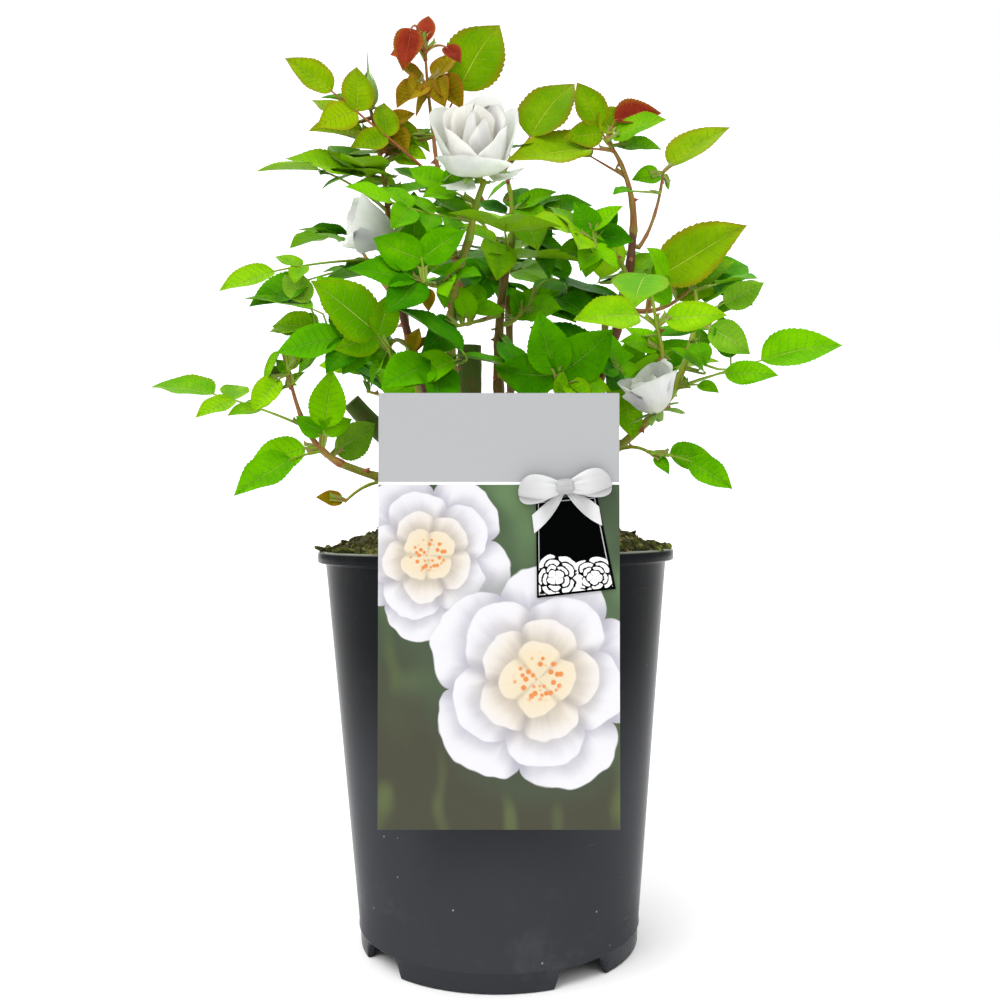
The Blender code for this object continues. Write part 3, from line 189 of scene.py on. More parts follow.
# leaves of each shoot: place along it, tip of the end leaflet, arch, leaflets, length of
# the end one, percent of it that the side ones have, tilt of the face from the sky,
# bearing it looks to, colour
LEAVES = {
    "low_left_shoot": (
        (0.54, (-176, -20, 289), 3, 5, 36, 62, 30, -90, "bright"),
        (0.97, (-118, -50, 270), 3, 1, 22, 94, 55, -90, "bright"),
        (1.00, (-93, -46, 300), 0, 1, 11, 94, 60, -90, "bright"),
        (1.00, (-115, -36, 290), 0, 1, 12, 94, 60, -90, "bright"),
        (0.24, (-124, -60, 232), 3, 1, 33, 94, 52, -90, "mid"),
        (0.28, (-122, -44, 242), 4, 1, 31, 94, 60, -90, "mid"),
        (0.26, (-78, -50, 290), 0, 3, 29, 55, 86, -80, "mid"),
        (0.15, (-59, -20, 266), 1, 1, 32, 94, 120, -90, "under"),
    ),
    "low_left_twig": (
        (1.00, (-85, -56, 229), 0, 1, 14, 94, 60, -90, "olive"),
    ),
    "left_shoot": (
        (0.32, (-119, -30, 396), 9, 3, 31, 50, 22, -90, "bright"),
        (0.52, (-102, -34, 402), -2, 3, 40, 94, 44, -90, "bright"),
        (0.85, (-43, -20, 404), 7, 3, 17, 94, 64, -90, "olive"),
        (0.61, (-32, -10, 422), -2, 5, 16, 94, 66, -90, "bright"),
        (0.80, (-92, -30, 415), 3, 1, 28, 94, 58, -90, "edge"),
        (0.04, (-133, -50, 330), 4, 3, 29, 60, 45, -90, "bright"),
        (0.03, (-122, -36, 325), 3, 1, 33, 94, 50, -90, "deep"),
    ),
    "left_front_twig": (
        (0.99, (-81, -80, 326), 5, 3, 42, 55, 76, -90, "bright"),
        (0.95, (-105, -54, 302), 4, 5, 32, 75, 58, -90, "deep"),
        (0.90, (-113, -28, 317), 3, 1, 24, 94, 66, -90, "bright"),
        (1.00, (-64, -30, 296), 0, 3, 20, 94, 70, -90, "mid"),
    ),
    "top_bloom_shoot": (
        (0.31, (-69, -62, 376), -3, 7, 23, 94, 48, -90, "mid"),
        (0.61, (-42, -30, 395), 0, 3, 23, 94, 60, -90, "mid"),
    ),
    "red_tip_shoot": (
        (1.00, (-32, -20, 477), 0, 1, 15, 94, 80, -90, "red"),
        (0.40, (-101, -42, 446), 1, 5, 27, 94, 62, -90, "edge"),
        (0.60, (6, -6, 480), 3, 1, 46, 94, 88, -80, "edge"),
        (0.81, (-48, -30, 426), 8, 3, 19, 94, 66, -90, "olive"),
        (0.85, (-14, -26, 426), 7, 3, 22, 94, 66, -90, "olive"),
        (0.98, (-45, -28, 445), 17, 1, 22, 94, 80, -90, "red"),
        (0.94, (-53, -16, 458), 16, 1, 18, 94, 80, -90, "red"),
        (0.97, (-15, -34, 445), 6, 1, 14, 94, 70, -90, "red"),
    ),
    "centre_left_twig": (
        (1.00, (-37, -55, 373), 0, 3, 28, 94, 84, -90, "mid"),
        (0.90, (-68, -60, 339), 2, 3, 33, 94, 48, -90, "deep"),
        (0.51, (-6, -60, 334), 2, 3, 19, 94, 50, -90, "mid"),
    ),
    "centre_right_shoot": (
        (0.13, (3, -90, 358), 0, 3, 34, 94, 34, -90, "bright"),
        (0.96, (45, 10, 457), -1, 1, 45, 94, 72, -100, "edge"),
        (0.56, (34, -4, 391), 0, 3, 24, 94, 44, -90, "mid"),
        (0.44, (50, -14, 368), 2, 3, 31, 94, 40, -90, "bright"),
        (0.33, (44, 14, 352), 2, 3, 25, 94, 62, -90, "deep"),
        (0.23, (-26, -30, 351), 3, 3, 33, 94, 36, -90, "bright"),
    ),
    "inner_left_twig": (
        (1.00, (-45, -52, 322), 2, 3, 30, 94, 60, -90, "deep"),
        (0.67, (-8, -12, 341), 0, 3, 20, 94, 80, -90, "mid"),
        (0.85, (-22, 12, 353), 2, 1, 28, 94, 58, -90, "deep"),
    ),
    "inner_right_twig": (
        (1.00, (70, 12, 340), 1, 5, 31, 94, 44, -90, "deep"),
        (0.75, (34, -20, 325), 0, 1, 28, 94, 80, -90, "mid"),
        (0.60, (10, -10, 337), 2, 1, 26, 94, 70, -90, "mid"),
    ),
    "right_shoot": (
        (0.87, (46, 0, 450), -3, 3, 27, 80, 70, -90, "edge"),
        (0.85, (8, -10, 409), 2, 1, 46, 94, 52, -90, "edge"),
        (0.92, (90, -4, 413), 0, 1, 28, 94, 46, -90, "mid"),
        (0.98, (92, 4, 436), 19, 1, 27, 94, 62, -90, "red"),
        (1.00, (89, -18, 424), 1, 1, 34, 94, 58, -90, "bright"),
        (0.53, (33, 18, 428), 0, 1, 26, 94, 50, -90, "edge"),
    ),
    "right_side_twig": (
        (1.00, (132, 24, 436), 0, 1, 46, 94, 36, -90, "edge"),
        (0.99, (76, 12, 401), 0, 1, 21, 94, 76, -90, "mid"),
        (0.97, (100, 30, 400), 0, 1, 14, 94, 70, -90, "bright"),
        (0.77, (63, -12, 387), 0, 1, 16, 94, 40, -90, "mid"),
    ),
    "right_inner_twig": (
        (1.00, (19, -36, 368), 1, 3, 29, 94, 50, -90, "bright"),
        (0.95, (44, -30, 342), 0, 3, 20, 94, 80, -90, "mid"),
        (1.00, (65, -10, 381), 0, 3, 23, 94, 72, -90, "deep"),
    ),
    "right_mid_shoot": (
        (0.30, (128, -20, 369), 30, 1, 54, 70, 60, -90, "edge"),
        (0.52, (127, -2, 357), 8, 3, 34, 70, 56, -90, "bright"),
        (1.00, (142, 20, 357), 0, 3, 29, 94, 66, -90, "deep"),
        (0.79, (80, -26, 354), 0, 3, 23, 94, 60, -90, "mid"),
    ),
    "low_right_shoot": (
        (0.03, (176, -28, 305), 2, 1, 41, 66, 50, -90, "mid"),
        (0.03, (140, -40, 288), 4, 1, 26, 94, 52, -90, "mid"),
        (0.03, (112, -34, 279), 3, 1, 12, 94, 60, -90, "mid"),
        (0.66, (136, -30, 334), 0, 1, 22, 94, 100, -90, "under"),
        (0.60, (132, -20, 301), 2, 1, 25, 94, 84, -90, "under"),
        (0.42, (105, -36, 292), 4, 1, 18, 94, 66, -90, "mid"),
        (0.95, (130, -40, 337), 0, 1, 24, 94, 22, -90, "mid"),
    ),
    "right_bloom_shoot": (
        (1.00, (59, -119, 308), 17, 1, 36, 94, 40, -90, "bright"),
        (1.00, (38, -74, 311), 6, 1, 35, 94, 60, -90, "bright"),
        (0.96, (110, -62, 314), 8, 1, 38, 94, 60, -90, "bright"),
        (0.66, (61, -52, 303), 1, 1, 19, 94, 56, -90, "mid"),
    ),
    "low_right_twig": (
        (1.00, (115, -50, 231), 4, 1, 25, 94, 56, -90, "mid"),
        (0.98, (110, -34, 247), 0, 1, 24, 94, 62, -90, "mid"),
        (0.90, (85, -46, 239), 1, 1, 11, 94, 60, -90, "mid"),
    ),
    "centre_front_twig": (
        (1.00, (22, -62, 314), 2, 3, 36, 94, 84, -90, "deep"),
        (0.79, (-15, -60, 293), 4, 3, 29, 94, 46, -90, "deep"),
        (1.00, (57, -50, 279), 3, 3, 21, 94, 60, -90, "bright"),
    ),
    "left_low_front_twig": (
        (1.00, (-51, -76, 279), 4, 3, 35, 94, 72, -90, "deep"),
    ),
    "right_front_twig": (
        (1.00, (43, -50, 293), 3, 3, 24, 94, 62, -90, "deep"),
        (0.76, (70, -30, 256), 5, 3, 20, 94, 70, -90, "bright"),
    ),
    "back_shoot": (
        (0.04, (-36, 50, 362), 2, 3, 31, 94, 58, -90, "deep"),
        (0.06, (4, 42, 346), 2, 3, 30, 94, 62, -90, "deep"),
    ),
    "back_low_right_twig": (
        (0.10, (113, 46, 320), 2, 3, 30, 94, 60, -90, "mid"),
    ),
}

# single leaflets on finer twigs of each shoot: place along it, foot and tip of the blade,
# share of its width that faces the front, colour
FINE = {
    "left_shoot": (
        (0.12, (-39, -19, 357), (-40, -23, 385), 0.95, "mid"),
        (0.12, (-38, -13, 359), (-14, -7, 373), 0.55, "deep"),
        (0.00, (-47, -12, 346), (-93, -16, 345), 0.28, "deep"),
        (0.74, (-61, -11, 412), (-89, -11, 424), 0.50, "edge"),
        (0.68, (-58, -11, 408), (-79, -9, 409), 0.50, "bright"),
        (0.54, (-51, -20, 393), (-88, -28, 400), 0.32, "bright"),
        (0.46, (-50, -14, 390), (-73, -16, 393), 0.60, "bright"),
        (0.70, (-47, -11, 410), (-60, -7, 425), 0.60, "olive"),
        (0.70, (-46, -13, 410), (-59, -13, 404), 0.50, "olive"),
        (0.92, (-76, -12, 426), (-94, -8, 440), 0.60, "edge"),
        (0.98, (-62, -20, 428), (-86, -28, 433), 0.55, "mid"),
        (0.58, (-67, -18, 396), (-88, -24, 388), 0.32, "mid"),
    ),
    "top_bloom_shoot": (
        (0.38, (-12, -29, 369), (-31, -25, 383), 0.55, "mid"),
        (1.00, (-3, -32, 385), (-23, -26, 387), 0.40, "mid"),
    ),
    "centre_right_shoot": (
        (0.10, (7, -5, 355), (-33, -11, 356), 0.30, "mid"),
        (0.10, (9, -5, 354), (51, -13, 356), 0.24, "bright"),
        (0.38, (20, 6, 372), (39, 6, 356), 0.50, "deep"),
        (0.52, (10, 4, 379), (37, 8, 393), 0.50, "mid"),
        (0.56, (28, 6, 382), (55, 10, 389), 0.75, "deep"),
        (0.54, (7, 4, 380), (-9, 10, 391), 0.60, "deep"),
        (1.00, (8, 2, 414), (30, 6, 421), 0.35, "deep"),
        (0.86, (8, 1, 396), (-4, 5, 388), 0.50, "mid"),
    ),
    "right_inner_twig": (
        (1.00, (48, -8, 369), (18, -8, 372), 0.45, "bright"),
        (1.00, (52, -12, 366), (67, -16, 379), 0.70, "mid"),
        (1.00, (52, -12, 365), (48, -8, 342), 0.80, "mid"),
        (0.00, (58, 11, 347), (71, 17, 370), 0.70, "bright"),
        (0.04, (75, 9, 349), (90, 15, 363), 0.60, "bright"),
    ),
    "inner_right_twig": (
        (1.00, (39, 10, 346), (29, 14, 365), 0.70, "deep"),
        (1.00, (35, 4, 344), (69, 8, 336), 0.40, "deep"),
        (0.34, (10, 6, 325), (36, 6, 340), 0.90, "mid"),
        (0.00, (3, 4, 316), (16, 4, 302), 0.25, "mid"),
    ),
    "back_shoot": (
        (0.04, (8, 67, 356), (-15, 69, 368), 0.60, "mid"),
    ),
    "inner_left_twig": (
        (0.66, (-12, -27, 318), (-16, -25, 336), 0.85, "mid"),
    ),
    "red_tip_shoot": (
        (0.02, (-21, -31, 348), (-45, -39, 333), 0.35, "bright"),
        (0.38, (-32, -20, 387), (-62, -24, 381), 0.50, "mid"),
        (0.62, (-40, -15, 415), (-51, -15, 426), 0.75, "edge"),
        (0.62, (-40, -15, 414), (-31, -13, 408), 0.80, "bright"),
        (0.62, (-39, -15, 415), (-29, -13, 421), 0.50, "mid"),
        (0.42, (-38, -13, 393), (-51, -9, 404), 0.50, "mid"),
        (0.38, (-37, -14, 389), (-27, -10, 404), 0.60, "mid"),
        (0.80, (-31, -15, 438), (-41, -13, 427), 0.60, "olive"),
    ),
    "left_low_front_twig": (
        (1.00, (-15, -54, 297), (-44, -60, 322), 0.42, "deep"),
        (1.00, (-19, -52, 293), (-52, -56, 280), 0.75, "mid"),
        (1.00, (-16, -48, 296), (16, -48, 290), 0.25, "mid"),
    ),
    "right_front_twig": (
        (0.00, (55, -6, 299), (22, -10, 322), 0.75, "deep"),
        (0.00, (57, -10, 297), (9, -20, 290), 0.42, "mid"),
        (0.00, (49, -6, 298), (73, -12, 302), 0.90, "deep"),
    ),
    "left_front_twig": (
        (0.00, (-42, -13, 304), (-39, -13, 317), 0.50, "olive"),
        (0.00, (-40, -13, 304), (-33, -13, 313), 0.50, "olive"),
        (0.74, (-63, -50, 312), (-83, -54, 337), 0.85, "mid"),
        (1.00, (-50, -41, 291), (-63, -37, 309), 0.60, "mid"),
        (0.72, (-62, -37, 314), (-46, -33, 327), 0.50, "mid"),
    ),
    "centre_left_twig": (
        (0.74, (-32, -50, 328), (-31, -50, 317), 0.50, "olive"),
        (0.44, (-26, -41, 331), (-23, -41, 320), 0.40, "mid"),
    ),
    "low_left_shoot": (
        (1.00, (-89, -40, 321), (-124, -36, 330), 0.38, "mid"),
        (1.00, (-92, -36, 325), (-105, -30, 342), 0.80, "under"),
        (1.00, (-87, -34, 314), (-115, -24, 315), 0.70, "bright"),
        (1.00, (-85, -36, 303), (-101, -32, 292), 0.70, "bright"),
        (1.00, (-105, -40, 300), (-114, -40, 283), 0.30, "bright"),
        (1.00, (-101, -40, 290), (-107, -40, 297), 0.90, "mid"),
        (0.90, (-102, -39, 283), (-94, -39, 292), 0.60, "bright"),
    ),
    "right_bloom_shoot": (
        (0.86, (78, -46, 305), (106, -42, 312), 0.40, "mid"),
        (0.64, (82, -43, 297), (65, -43, 311), 0.70, "mid"),
        (0.12, (80, -24, 277), (91, -20, 291), 0.40, "bright"),
    ),
    "low_right_shoot": (
        (0.20, (106, -24, 291), (88, -32, 303), 0.60, "mid"),
        (0.30, (122, -15, 299), (117, -15, 322), 0.95, "deep"),
        (0.72, (119, -9, 323), (141, -1, 337), 0.30, "bright"),
        (0.80, (111, -8, 329), (138, 0, 349), 0.22, "mid"),
        (0.36, (107, -10, 303), (108, -4, 318), 0.60, "under"),
    ),
    "back_low_right_twig": (
        (0.72, (77, 52, 286), (59, 48, 294), 0.50, "bright"),
        (0.42, (63, 49, 289), (39, 43, 296), 0.40, "mid"),
    ),
    "centre_front_twig": (
        (0.92, (32, -48, 276), (33, -52, 288), 0.50, "bright"),
    ),
}

# shoots whose leaves are dealt round them: leaves, leaflets, their length,
# reach, bearing and spread of the fan, rise, seed
FANS = {
    "back_left_shoot": (5, 5, 30, 55, 112, 130, 8, 21),
    "back_shoot": (5, 5, 30, 54, 95, 230, 4, 22),
    "back_right_shoot": (5, 5, 30, 55, 42, 190, 8, 23),
    "back_low_left_twig": (3, 5, 30, 56, 140, 110, 30, 24),
    "back_low_right_twig": (3, 5, 30, 58, 36, 110, 24, 25),
}

# shoot, place along it, foot of the bloom, axis, length, width of the mouth
BLOOMS = (
    ("top_bloom_shoot", 0.97, (-7, -38, 389), (-0.10, -0.28, 0.95), 33, 35),
    ("left_shoot", 0.03, (-50, -30, 358), (-0.88, -0.25, 0.40), 24, 26),
    ("right_bloom_shoot", 0.30, (79, -46, 268), (-0.08, -0.30, 0.95), 21, 25),
)

# shoot, axis, length of the bud, length of its drawn-out tip
BUDS = (
    ("left_shoot", (-0.04, 0.0, 1.0), 15, 16),
)

# ---------------------------------------------------------------- node trees

class Graph:
    """Short hand for laying out a shader or geometry node tree."""

    def __init__(self, tree):
        self.tree = tree

    def feed(self, socket, value):
        """Link a value to a socket, or set it there."""
        if isinstance(value, Value):
            self.tree.links.new(value.socket, socket)
        else:
            socket.default_value = value

    def add(self, kind, inputs=None, **settings):
        """A new node with its settings and inputs."""
        node = self.tree.nodes.new(kind)
        for key, value in settings.items():
            setattr(node, key, value)
        for key, value in (inputs or {}).items():
            self.feed(node.inputs[key], value)
        return node

    def get(self, kind, inputs=None, at=0, **settings):
        """One output of a new node."""
        return Value(self, self.add(kind, inputs, **settings).outputs[at])

    def given(self):
        """Inputs of a node group, by name."""
        return {socket.name: Value(self, socket) for socket in self.add("NodeGroupInput").outputs}

    def math(self, operation, *values):
        """Result of a math node."""
        return self.get("ShaderNodeMath", dict(enumerate(values)), operation=operation)

    def vector(self, operation, *values):
        """Result of a vector math node."""
        return self.get("ShaderNodeVectorMath", dict(enumerate(values)), operation=operation)

    def length(self, vector):
        """Length of a vector."""
        return self.get("ShaderNodeVectorMath", {0: vector}, "Value", operation="LENGTH")

    def scaled(self, vector, factor):
        """A vector made longer by a factor."""
        return self.get("ShaderNodeVectorMath", {0: vector, "Scale": factor}, operation="SCALE")

    def step(self, value, low, high, to_low=0.0, to_high=1.0):
        """Smooth step of a value between two limits."""
        inputs = {"Value": value, "From Min": low, "From Max": high,
                  "To Min": to_low, "To Max": to_high}
        return self.get("ShaderNodeMapRange", inputs, interpolation_type="SMOOTHSTEP")

    def mix(self, factor, first, second, blend="MIX"):
        """Mix of two colours."""
        inputs = {0: factor, 6: first, 7: second}
        return self.get("ShaderNodeMix", inputs, 2, data_type="RGBA", blend_type=blend)

    def noise(self, vector, scale, detail=3.0, roughness=0.55):
        """Soft noise from 0 to 1."""
        inputs = {"Vector": vector, "Scale": scale, "Detail": detail, "Roughness": roughness}
        return self.get("ShaderNodeTexNoise", inputs, "Fac")

    def cells(self, vector, scale):
        """Distance to the middle of a random cell, and a value of the cell's own."""
        cell = self.add("ShaderNodeTexVoronoi", {"Vector": vector, "Scale": scale}).outputs
        return Value(self, cell["Distance"]), self.split(Value(self, cell["Color"]))[0]

    def split(self, vector):
        """The three parts of a vector."""
        parts = self.add("ShaderNodeSeparateXYZ", {0: vector}).outputs
        return [Value(self, part) for part in parts]

    def join(self, x, y, z=0.0):
        """A vector of its parts."""
        return self.get("ShaderNodeCombineXYZ", {0: x, 1: y, 2: z})

    def bump(self, height, distance, strength=1.0):
        """Normal of a relief."""
        inputs = {"Height": height, "Distance": distance, "Strength": strength}
        return self.get("ShaderNodeBump", inputs)

    def place(self):
        """Coordinates on the object, in metres."""
        return self.get("ShaderNodeTexCoord", at="Object")

    def tile(self):
        """Coordinates on the piece's own map."""
        return self.get("ShaderNodeUVMap", uv_map=MAP_NAME)

    def paint(self, **sockets):
        """Feed the sockets of a material's shader; gives the material."""
        for key, value in sockets.items():
            self.feed(self.shader.inputs[key.replace("_", " ")], value)
        return self.mat


class Value:
    """A value in a node tree: its arithmetic lays out math nodes."""

    def __init__(self, graph, socket):
        self.graph = graph
        self.socket = socket

    def __abs__(self):
        return self.graph.math("ABSOLUTE", self)

    def __gt__(self, other):
        return self.graph.math("GREATER_THAN", self, other)

    def __lt__(self, other):
        return self.graph.math("LESS_THAN", self, other)


def arithmetic(operation, swapped):
    """Method for an arithmetic sign."""
    def method(self, other):
        values = (other, self) if swapped else (self, other)
        return self.graph.math(operation, *values)
    return method


for sign, operation in (("add", "ADD"), ("sub", "SUBTRACT"), ("mul", "MULTIPLY"),
                        ("truediv", "DIVIDE"), ("pow", "POWER")):
    setattr(Value, "__%s__" % sign, arithmetic(operation, False))
    setattr(Value, "__r%s__" % sign, arithmetic(operation, True))


MAP_NAME = "OFBake"
RIM_ANGLE = math.radians(75.0)    # faces that meet more sharply are shaded apart


def srgb(red, green, blue):
    """Linear colour from 8-bit values."""
    linear = []
    for value in (red, green, blue):
        c = value / 255.0
        linear.append(c / 12.92 if c <= 0.04045 else ((c + 0.055) / 1.055) ** 2.4)
    return (*linear, 1.0)


def opaque(colour):
    """Colour of a settings property with an alpha."""
    return (colour[0], colour[1], colour[2], 1.0)


def new_finish(name, colour, roughness, **sockets):
    """Graph of a new principled material."""
    mat = bpy.data.materials.new(name)
    mat.use_nodes = True
    g = Graph(mat.node_tree)
    g.mat, g.shader = mat, mat.node_tree.nodes["Principled BSDF"]
    g.paint(Base_Color=colour, Roughness=roughness, **sockets)
    return g


def leaf_finish(name, dark, light, vein, margin, margin_share, under, roughness):
    """Leaf material: midrib, side veins, mottling, tinged margin and a paler underside.

    The map holds three columns of upper faces and one of undersides.
    """
    g = new_finish(name, light, roughness, Specular_IOR_Level=0.03,
                   Specular_Tint=(0.70, 1.0, 0.10, 1.0))
    uv = g.tile()
    scaled = g.vector("MULTIPLY", uv, (4.0, 4.0, 0.0))
    local = g.split(g.vector("FRACTION", scaled))
    cell = g.vector("FLOOR", scaled)
    below = g.split(cell)[0] > 2.5
    luck = g.get("ShaderNodeTexWhiteNoise", {"Vector": cell}, noise_dimensions="3D")
    across = abs(local[0] - 0.5) * 2.13
    along = (local[1] - 0.03) * 1.064
    patches = g.noise(scaled, 1.6, 2.0)
    grain = g.noise(scaled, 22.0, 3.0)
    beat = along * 9.0 - across ** 0.8 * 1.25 + patches * 0.25
    ridge = abs(g.math("FRACT", beat) - 0.5)
    side_vein = g.step(ridge, 0.43, 0.495) * g.step(across, 0.95, 0.45)
    midrib = g.step(across, 0.045 - along * 0.02, 0.008)
    mottle = patches * 0.9 + grain * 0.35 + luck * 0.55
    upper = g.mix(g.step(mottle, 0.55, 1.25), dark, light)
    upper = g.mix(side_vein * 0.26, upper, vein)
    upper = g.mix(midrib * 0.60, upper, vein)
    edge = across + (grain - 0.5) * 0.25
    tip = g.step(along, 0.72, 1.0) * 0.5
    edge = (g.step(edge, 0.62, 1.02) + tip) * margin_share
    upper = g.mix(g.math("MINIMUM", edge, 1.0), upper, margin)
    lower = g.mix(g.math("MAXIMUM", midrib, side_vein) * 0.5, under, vein)
    colour = g.mix(below, upper, lower)
    height = (midrib + side_vein * 0.7) * -1.0 + grain * 0.35
    return g.paint(Base_Color=colour, Normal=g.bump(height, 0.0006, 0.8))


def stem_finish(name, base, flush, fleck, roughness):
    """Bark: streaks along the stem, a flush of a second colour and pale flecks."""
    g = new_finish(name, base, roughness, Specular_IOR_Level=0.4)
    uv = g.split(g.tile())
    streaks = g.noise(g.join(uv[0] * 9.0, uv[1] * 5.0), 2.0, 4.0)
    blotches = g.noise(g.join(uv[0] * 1.2, uv[1] * 3.0), 1.7, 2.0)
    colour = g.mix(g.step(blotches, 0.38, 0.62), base, flush)
    colour = g.mix(g.step(streaks, 0.45, 0.75, 0.0, 0.55), colour, fleck)
    away, _ = g.cells(g.join(uv[0] * 14.0, uv[1] * 34.0), 1.0)
    speck = g.step(away, 0.20, 0.10)
    colour = g.mix(speck * 0.5, colour, fleck)
    height = streaks + speck * 0.5
    return g.paint(Base_Color=colour, Normal=g.bump(height, 0.0003, 0.7))


# ---------------------------------------------------------------- meshes

class Soup:
    """Collects points, faces and map corners for one joined mesh."""

    def __init__(self):
        self.points = []
        self.faces = []
        self.corners = []

    def add(self, points, faces, corners=None):
        """corners: one (u, v) for each corner of each face, or none."""
        first = len(self.points)
        self.points += [Vector(p) for p in points]
        self.faces += [tuple(first + k for k in face) for face in faces]
        if corners is not None:
            self.corners += corners
        return self

    def mesh(self, name):
        mesh = bpy.data.meshes.new(name)
        mesh.from_pydata([tuple(p) for p in self.points], [], self.faces)
        if self.corners:
            layer = mesh.uv_layers.new(name=MAP_NAME)
            for k, corner in enumerate(self.corners):
                layer.data[k].uv = corner
        mesh.validate()
        mesh.update()
        return mesh

    def piece(self, name, mat, smooth=True):
        return new_piece(name, self.mesh(name), mat, smooth)


def shade(mesh, smooth=True):
    """Shade a mesh smooth, but for its sharp edges, or flat."""
    for polygon in mesh.polygons:
        polygon.use_smooth = smooth
    if smooth:
        mesh.set_sharp_from_angle(angle=RIM_ANGLE)
    return mesh


def new_object(name, data):
    """Object in the scene."""
    obj = bpy.data.objects.new(name, data)
    bpy.context.scene.collection.objects.link(obj)
    return obj


def new_piece(name, mesh, mat, smooth=True):
    """Object of a mesh, at the origin, with one material."""
    mesh.materials.clear()
    mesh.materials.append(mat)
    return new_object(name, shade(mesh, smooth))


def settle(obj, slot, *nodes):
    """Ride on the body and stand for the solids, which are hidden; the finish slot is not used."""
    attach(obj, BODY)
    if nodes:
        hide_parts(*nodes)
    return obj


BODY = next(iter(frame["bodies"]))


def bake(obj):
    """Turn the evaluated object into a plain mesh and drop its modifiers."""
    bpy.context.view_layer.update()
    graph = bpy.context.evaluated_depsgraph_get()
    source = obj.evaluated_get(graph)
    mesh = bpy.data.meshes.new_from_object(source, preserve_all_data_layers=True, depsgraph=graph)
    obj.modifiers.clear()
    obj.data = mesh
    mesh.name = obj.name
    keep = {MAP_NAME, "position", "material_index", "sharp_face", "sharp_edge"}
    spare = [a.name for a in mesh.attributes if not a.name.startswith(".") and a.name not in keep]
    for name in spare:
        mesh.attributes.remove(mesh.attributes[name])
    return obj


def outwards(obj):
    """Recalculate the normals of closed shells after merging doubles."""
    bm = bmesh.new()
    bm.from_mesh(obj.data)
    bmesh.ops.remove_doubles(bm, verts=bm.verts, dist=1e-6)
    bmesh.ops.recalc_face_normals(bm, faces=bm.faces)
    bm.to_mesh(obj.data)
    bm.free()
    if obj.data.polygons[0].use_smooth:
        obj.data.set_sharp_from_angle(angle=RIM_ANGLE)
    return obj


def shell(grid, thickness, corner=None):
    """Closed thin body of a grid of points: its two faces meet along the border.

    Gives points, faces and map corners; corner(row share, column share) maps a point.
    """
    rows, columns = len(grid), len(grid[0])
    corner = corner or (lambda v, u: (u, v))
    points, upper, lower = [], {}, {}
    for r in range(rows):
        for c in range(columns):
            p = grid[r][c]
            border = r in (0, rows - 1) or c in (0, columns - 1)
            if border:
                upper[r, c] = lower[r, c] = len(points)
                points.append(p)
                continue
            down = grid[r + 1][c] - grid[r - 1][c]
            over = grid[r][c + 1] - grid[r][c - 1]
            normal = over.cross(down).normalized() * (0.5 * thickness)
            upper[r, c] = len(points)
            points.append(p - normal)
            lower[r, c] = len(points)
            points.append(p + normal)
    faces, corners = [], []
    for r in range(rows - 1):
        for c in range(columns - 1):
            ring = ((r, c), (r, c + 1), (r + 1, c + 1), (r + 1, c))
            for keys, index in ((ring, upper), (ring[::-1], lower)):
                faces.append(tuple(index[k] for k in keys))
                corners += [corner(k[0] / (rows - 1), k[1] / (columns - 1)) for k in keys]
    return points, faces, corners


def turned_body(profile, angles, height=None):
    """Points and faces of a closed profile of (radius, z) turned about Z.

    angles are a count or the angles themselves; height(angle, number, radius, z)
    may move a profile point up or down.
    """
    if isinstance(angles, int):
        angles = [math.tau * k / angles for k in range(angles)]
    segments = len(angles)
    points, rings = [], []
    for number, (radius, z) in enumerate(profile):
        if radius < 1e-7:
            rings.append([len(points)] * segments)
            points.append(Vector((0.0, 0.0, z)))
            continue
        ring = []
        for angle in angles:
            level = z if height is None else height(angle, number, radius, z)
            ring.append(len(points))
            points.append(Vector((radius * math.cos(angle), radius * math.sin(angle), level)))
        rings.append(ring)
    faces = []
    for low, high in zip(rings, rings[1:]):
        for k in range(segments):
            j = (k + 1) % segments
            face = []
            for index in (low[k], low[j], high[j], high[k]):
                if index not in face:
                    face.append(index)
            if len(face) > 2:
                faces.append(tuple(face))
    return points, faces


# ---------------------------------------------------------------- geometry node trees

def add_sockets(tree, side, sockets):
    """Give a node group its sockets: (name, type, default or None)."""
    for title, kind, default in sockets:
        socket = tree.interface.new_socket(title, in_out=side, socket_type="NodeSocket" + kind)
        if default is not None:
            socket.default_value = default


def open_tree(name, inputs):
    """Graph and inputs of a new geometry node tree, from (name, type, default or None)."""
    tree = bpy.data.node_groups.new(name, "GeometryNodeTree")
    add_sockets(tree, "OUTPUT", (("Geometry", "Geometry", None),))
    add_sockets(tree, "INPUT", (("Geometry", "Geometry", None), *inputs))
    g = Graph(tree)
    return g, g.given()


def close_tree(g, geometry, mat):
    """Realize the instances, set the material and end the tree."""
    real = g.get("GeometryNodeRealizeInstances", {0: geometry})
    done = g.get("GeometryNodeSetMaterial", {"Geometry": real, "Material": mat})
    g.add("NodeGroupOutput", {0: done})
    return g.tree


def run_tree(obj, tree, values):
    """Give an object a node tree with its inputs set by identifier, then bake it."""
    modifier = obj.modifiers.new(tree.name, "NODES")
    modifier.node_group = tree
    for item in tree.interface.items_tree:
        if item.item_type == "SOCKET" and item.in_out == "INPUT" and item.name in values:
            modifier[item.identifier] = values[item.name]
    return bake(obj)


def stored(g, geometry, name, value, kind, domain):
    """Geometry with a value kept on it under a name."""
    inputs = {"Geometry": geometry, "Name": name, "Value": value}
    return g.get("GeometryNodeStoreNamedAttribute", inputs, data_type=kind, domain=domain)


def named(g, name, kind="FLOAT"):
    """Value kept on the geometry under a name."""
    return g.get("GeometryNodeInputNamedAttribute", {"Name": name}, data_type=kind)


def shapes_of(g, collection):
    """The shapes of a collection, each on its own at the origin."""
    inputs = {"Collection": collection, "Separate Children": True, "Reset Children": True}
    return g.get("GeometryNodeCollectionInfo", inputs)


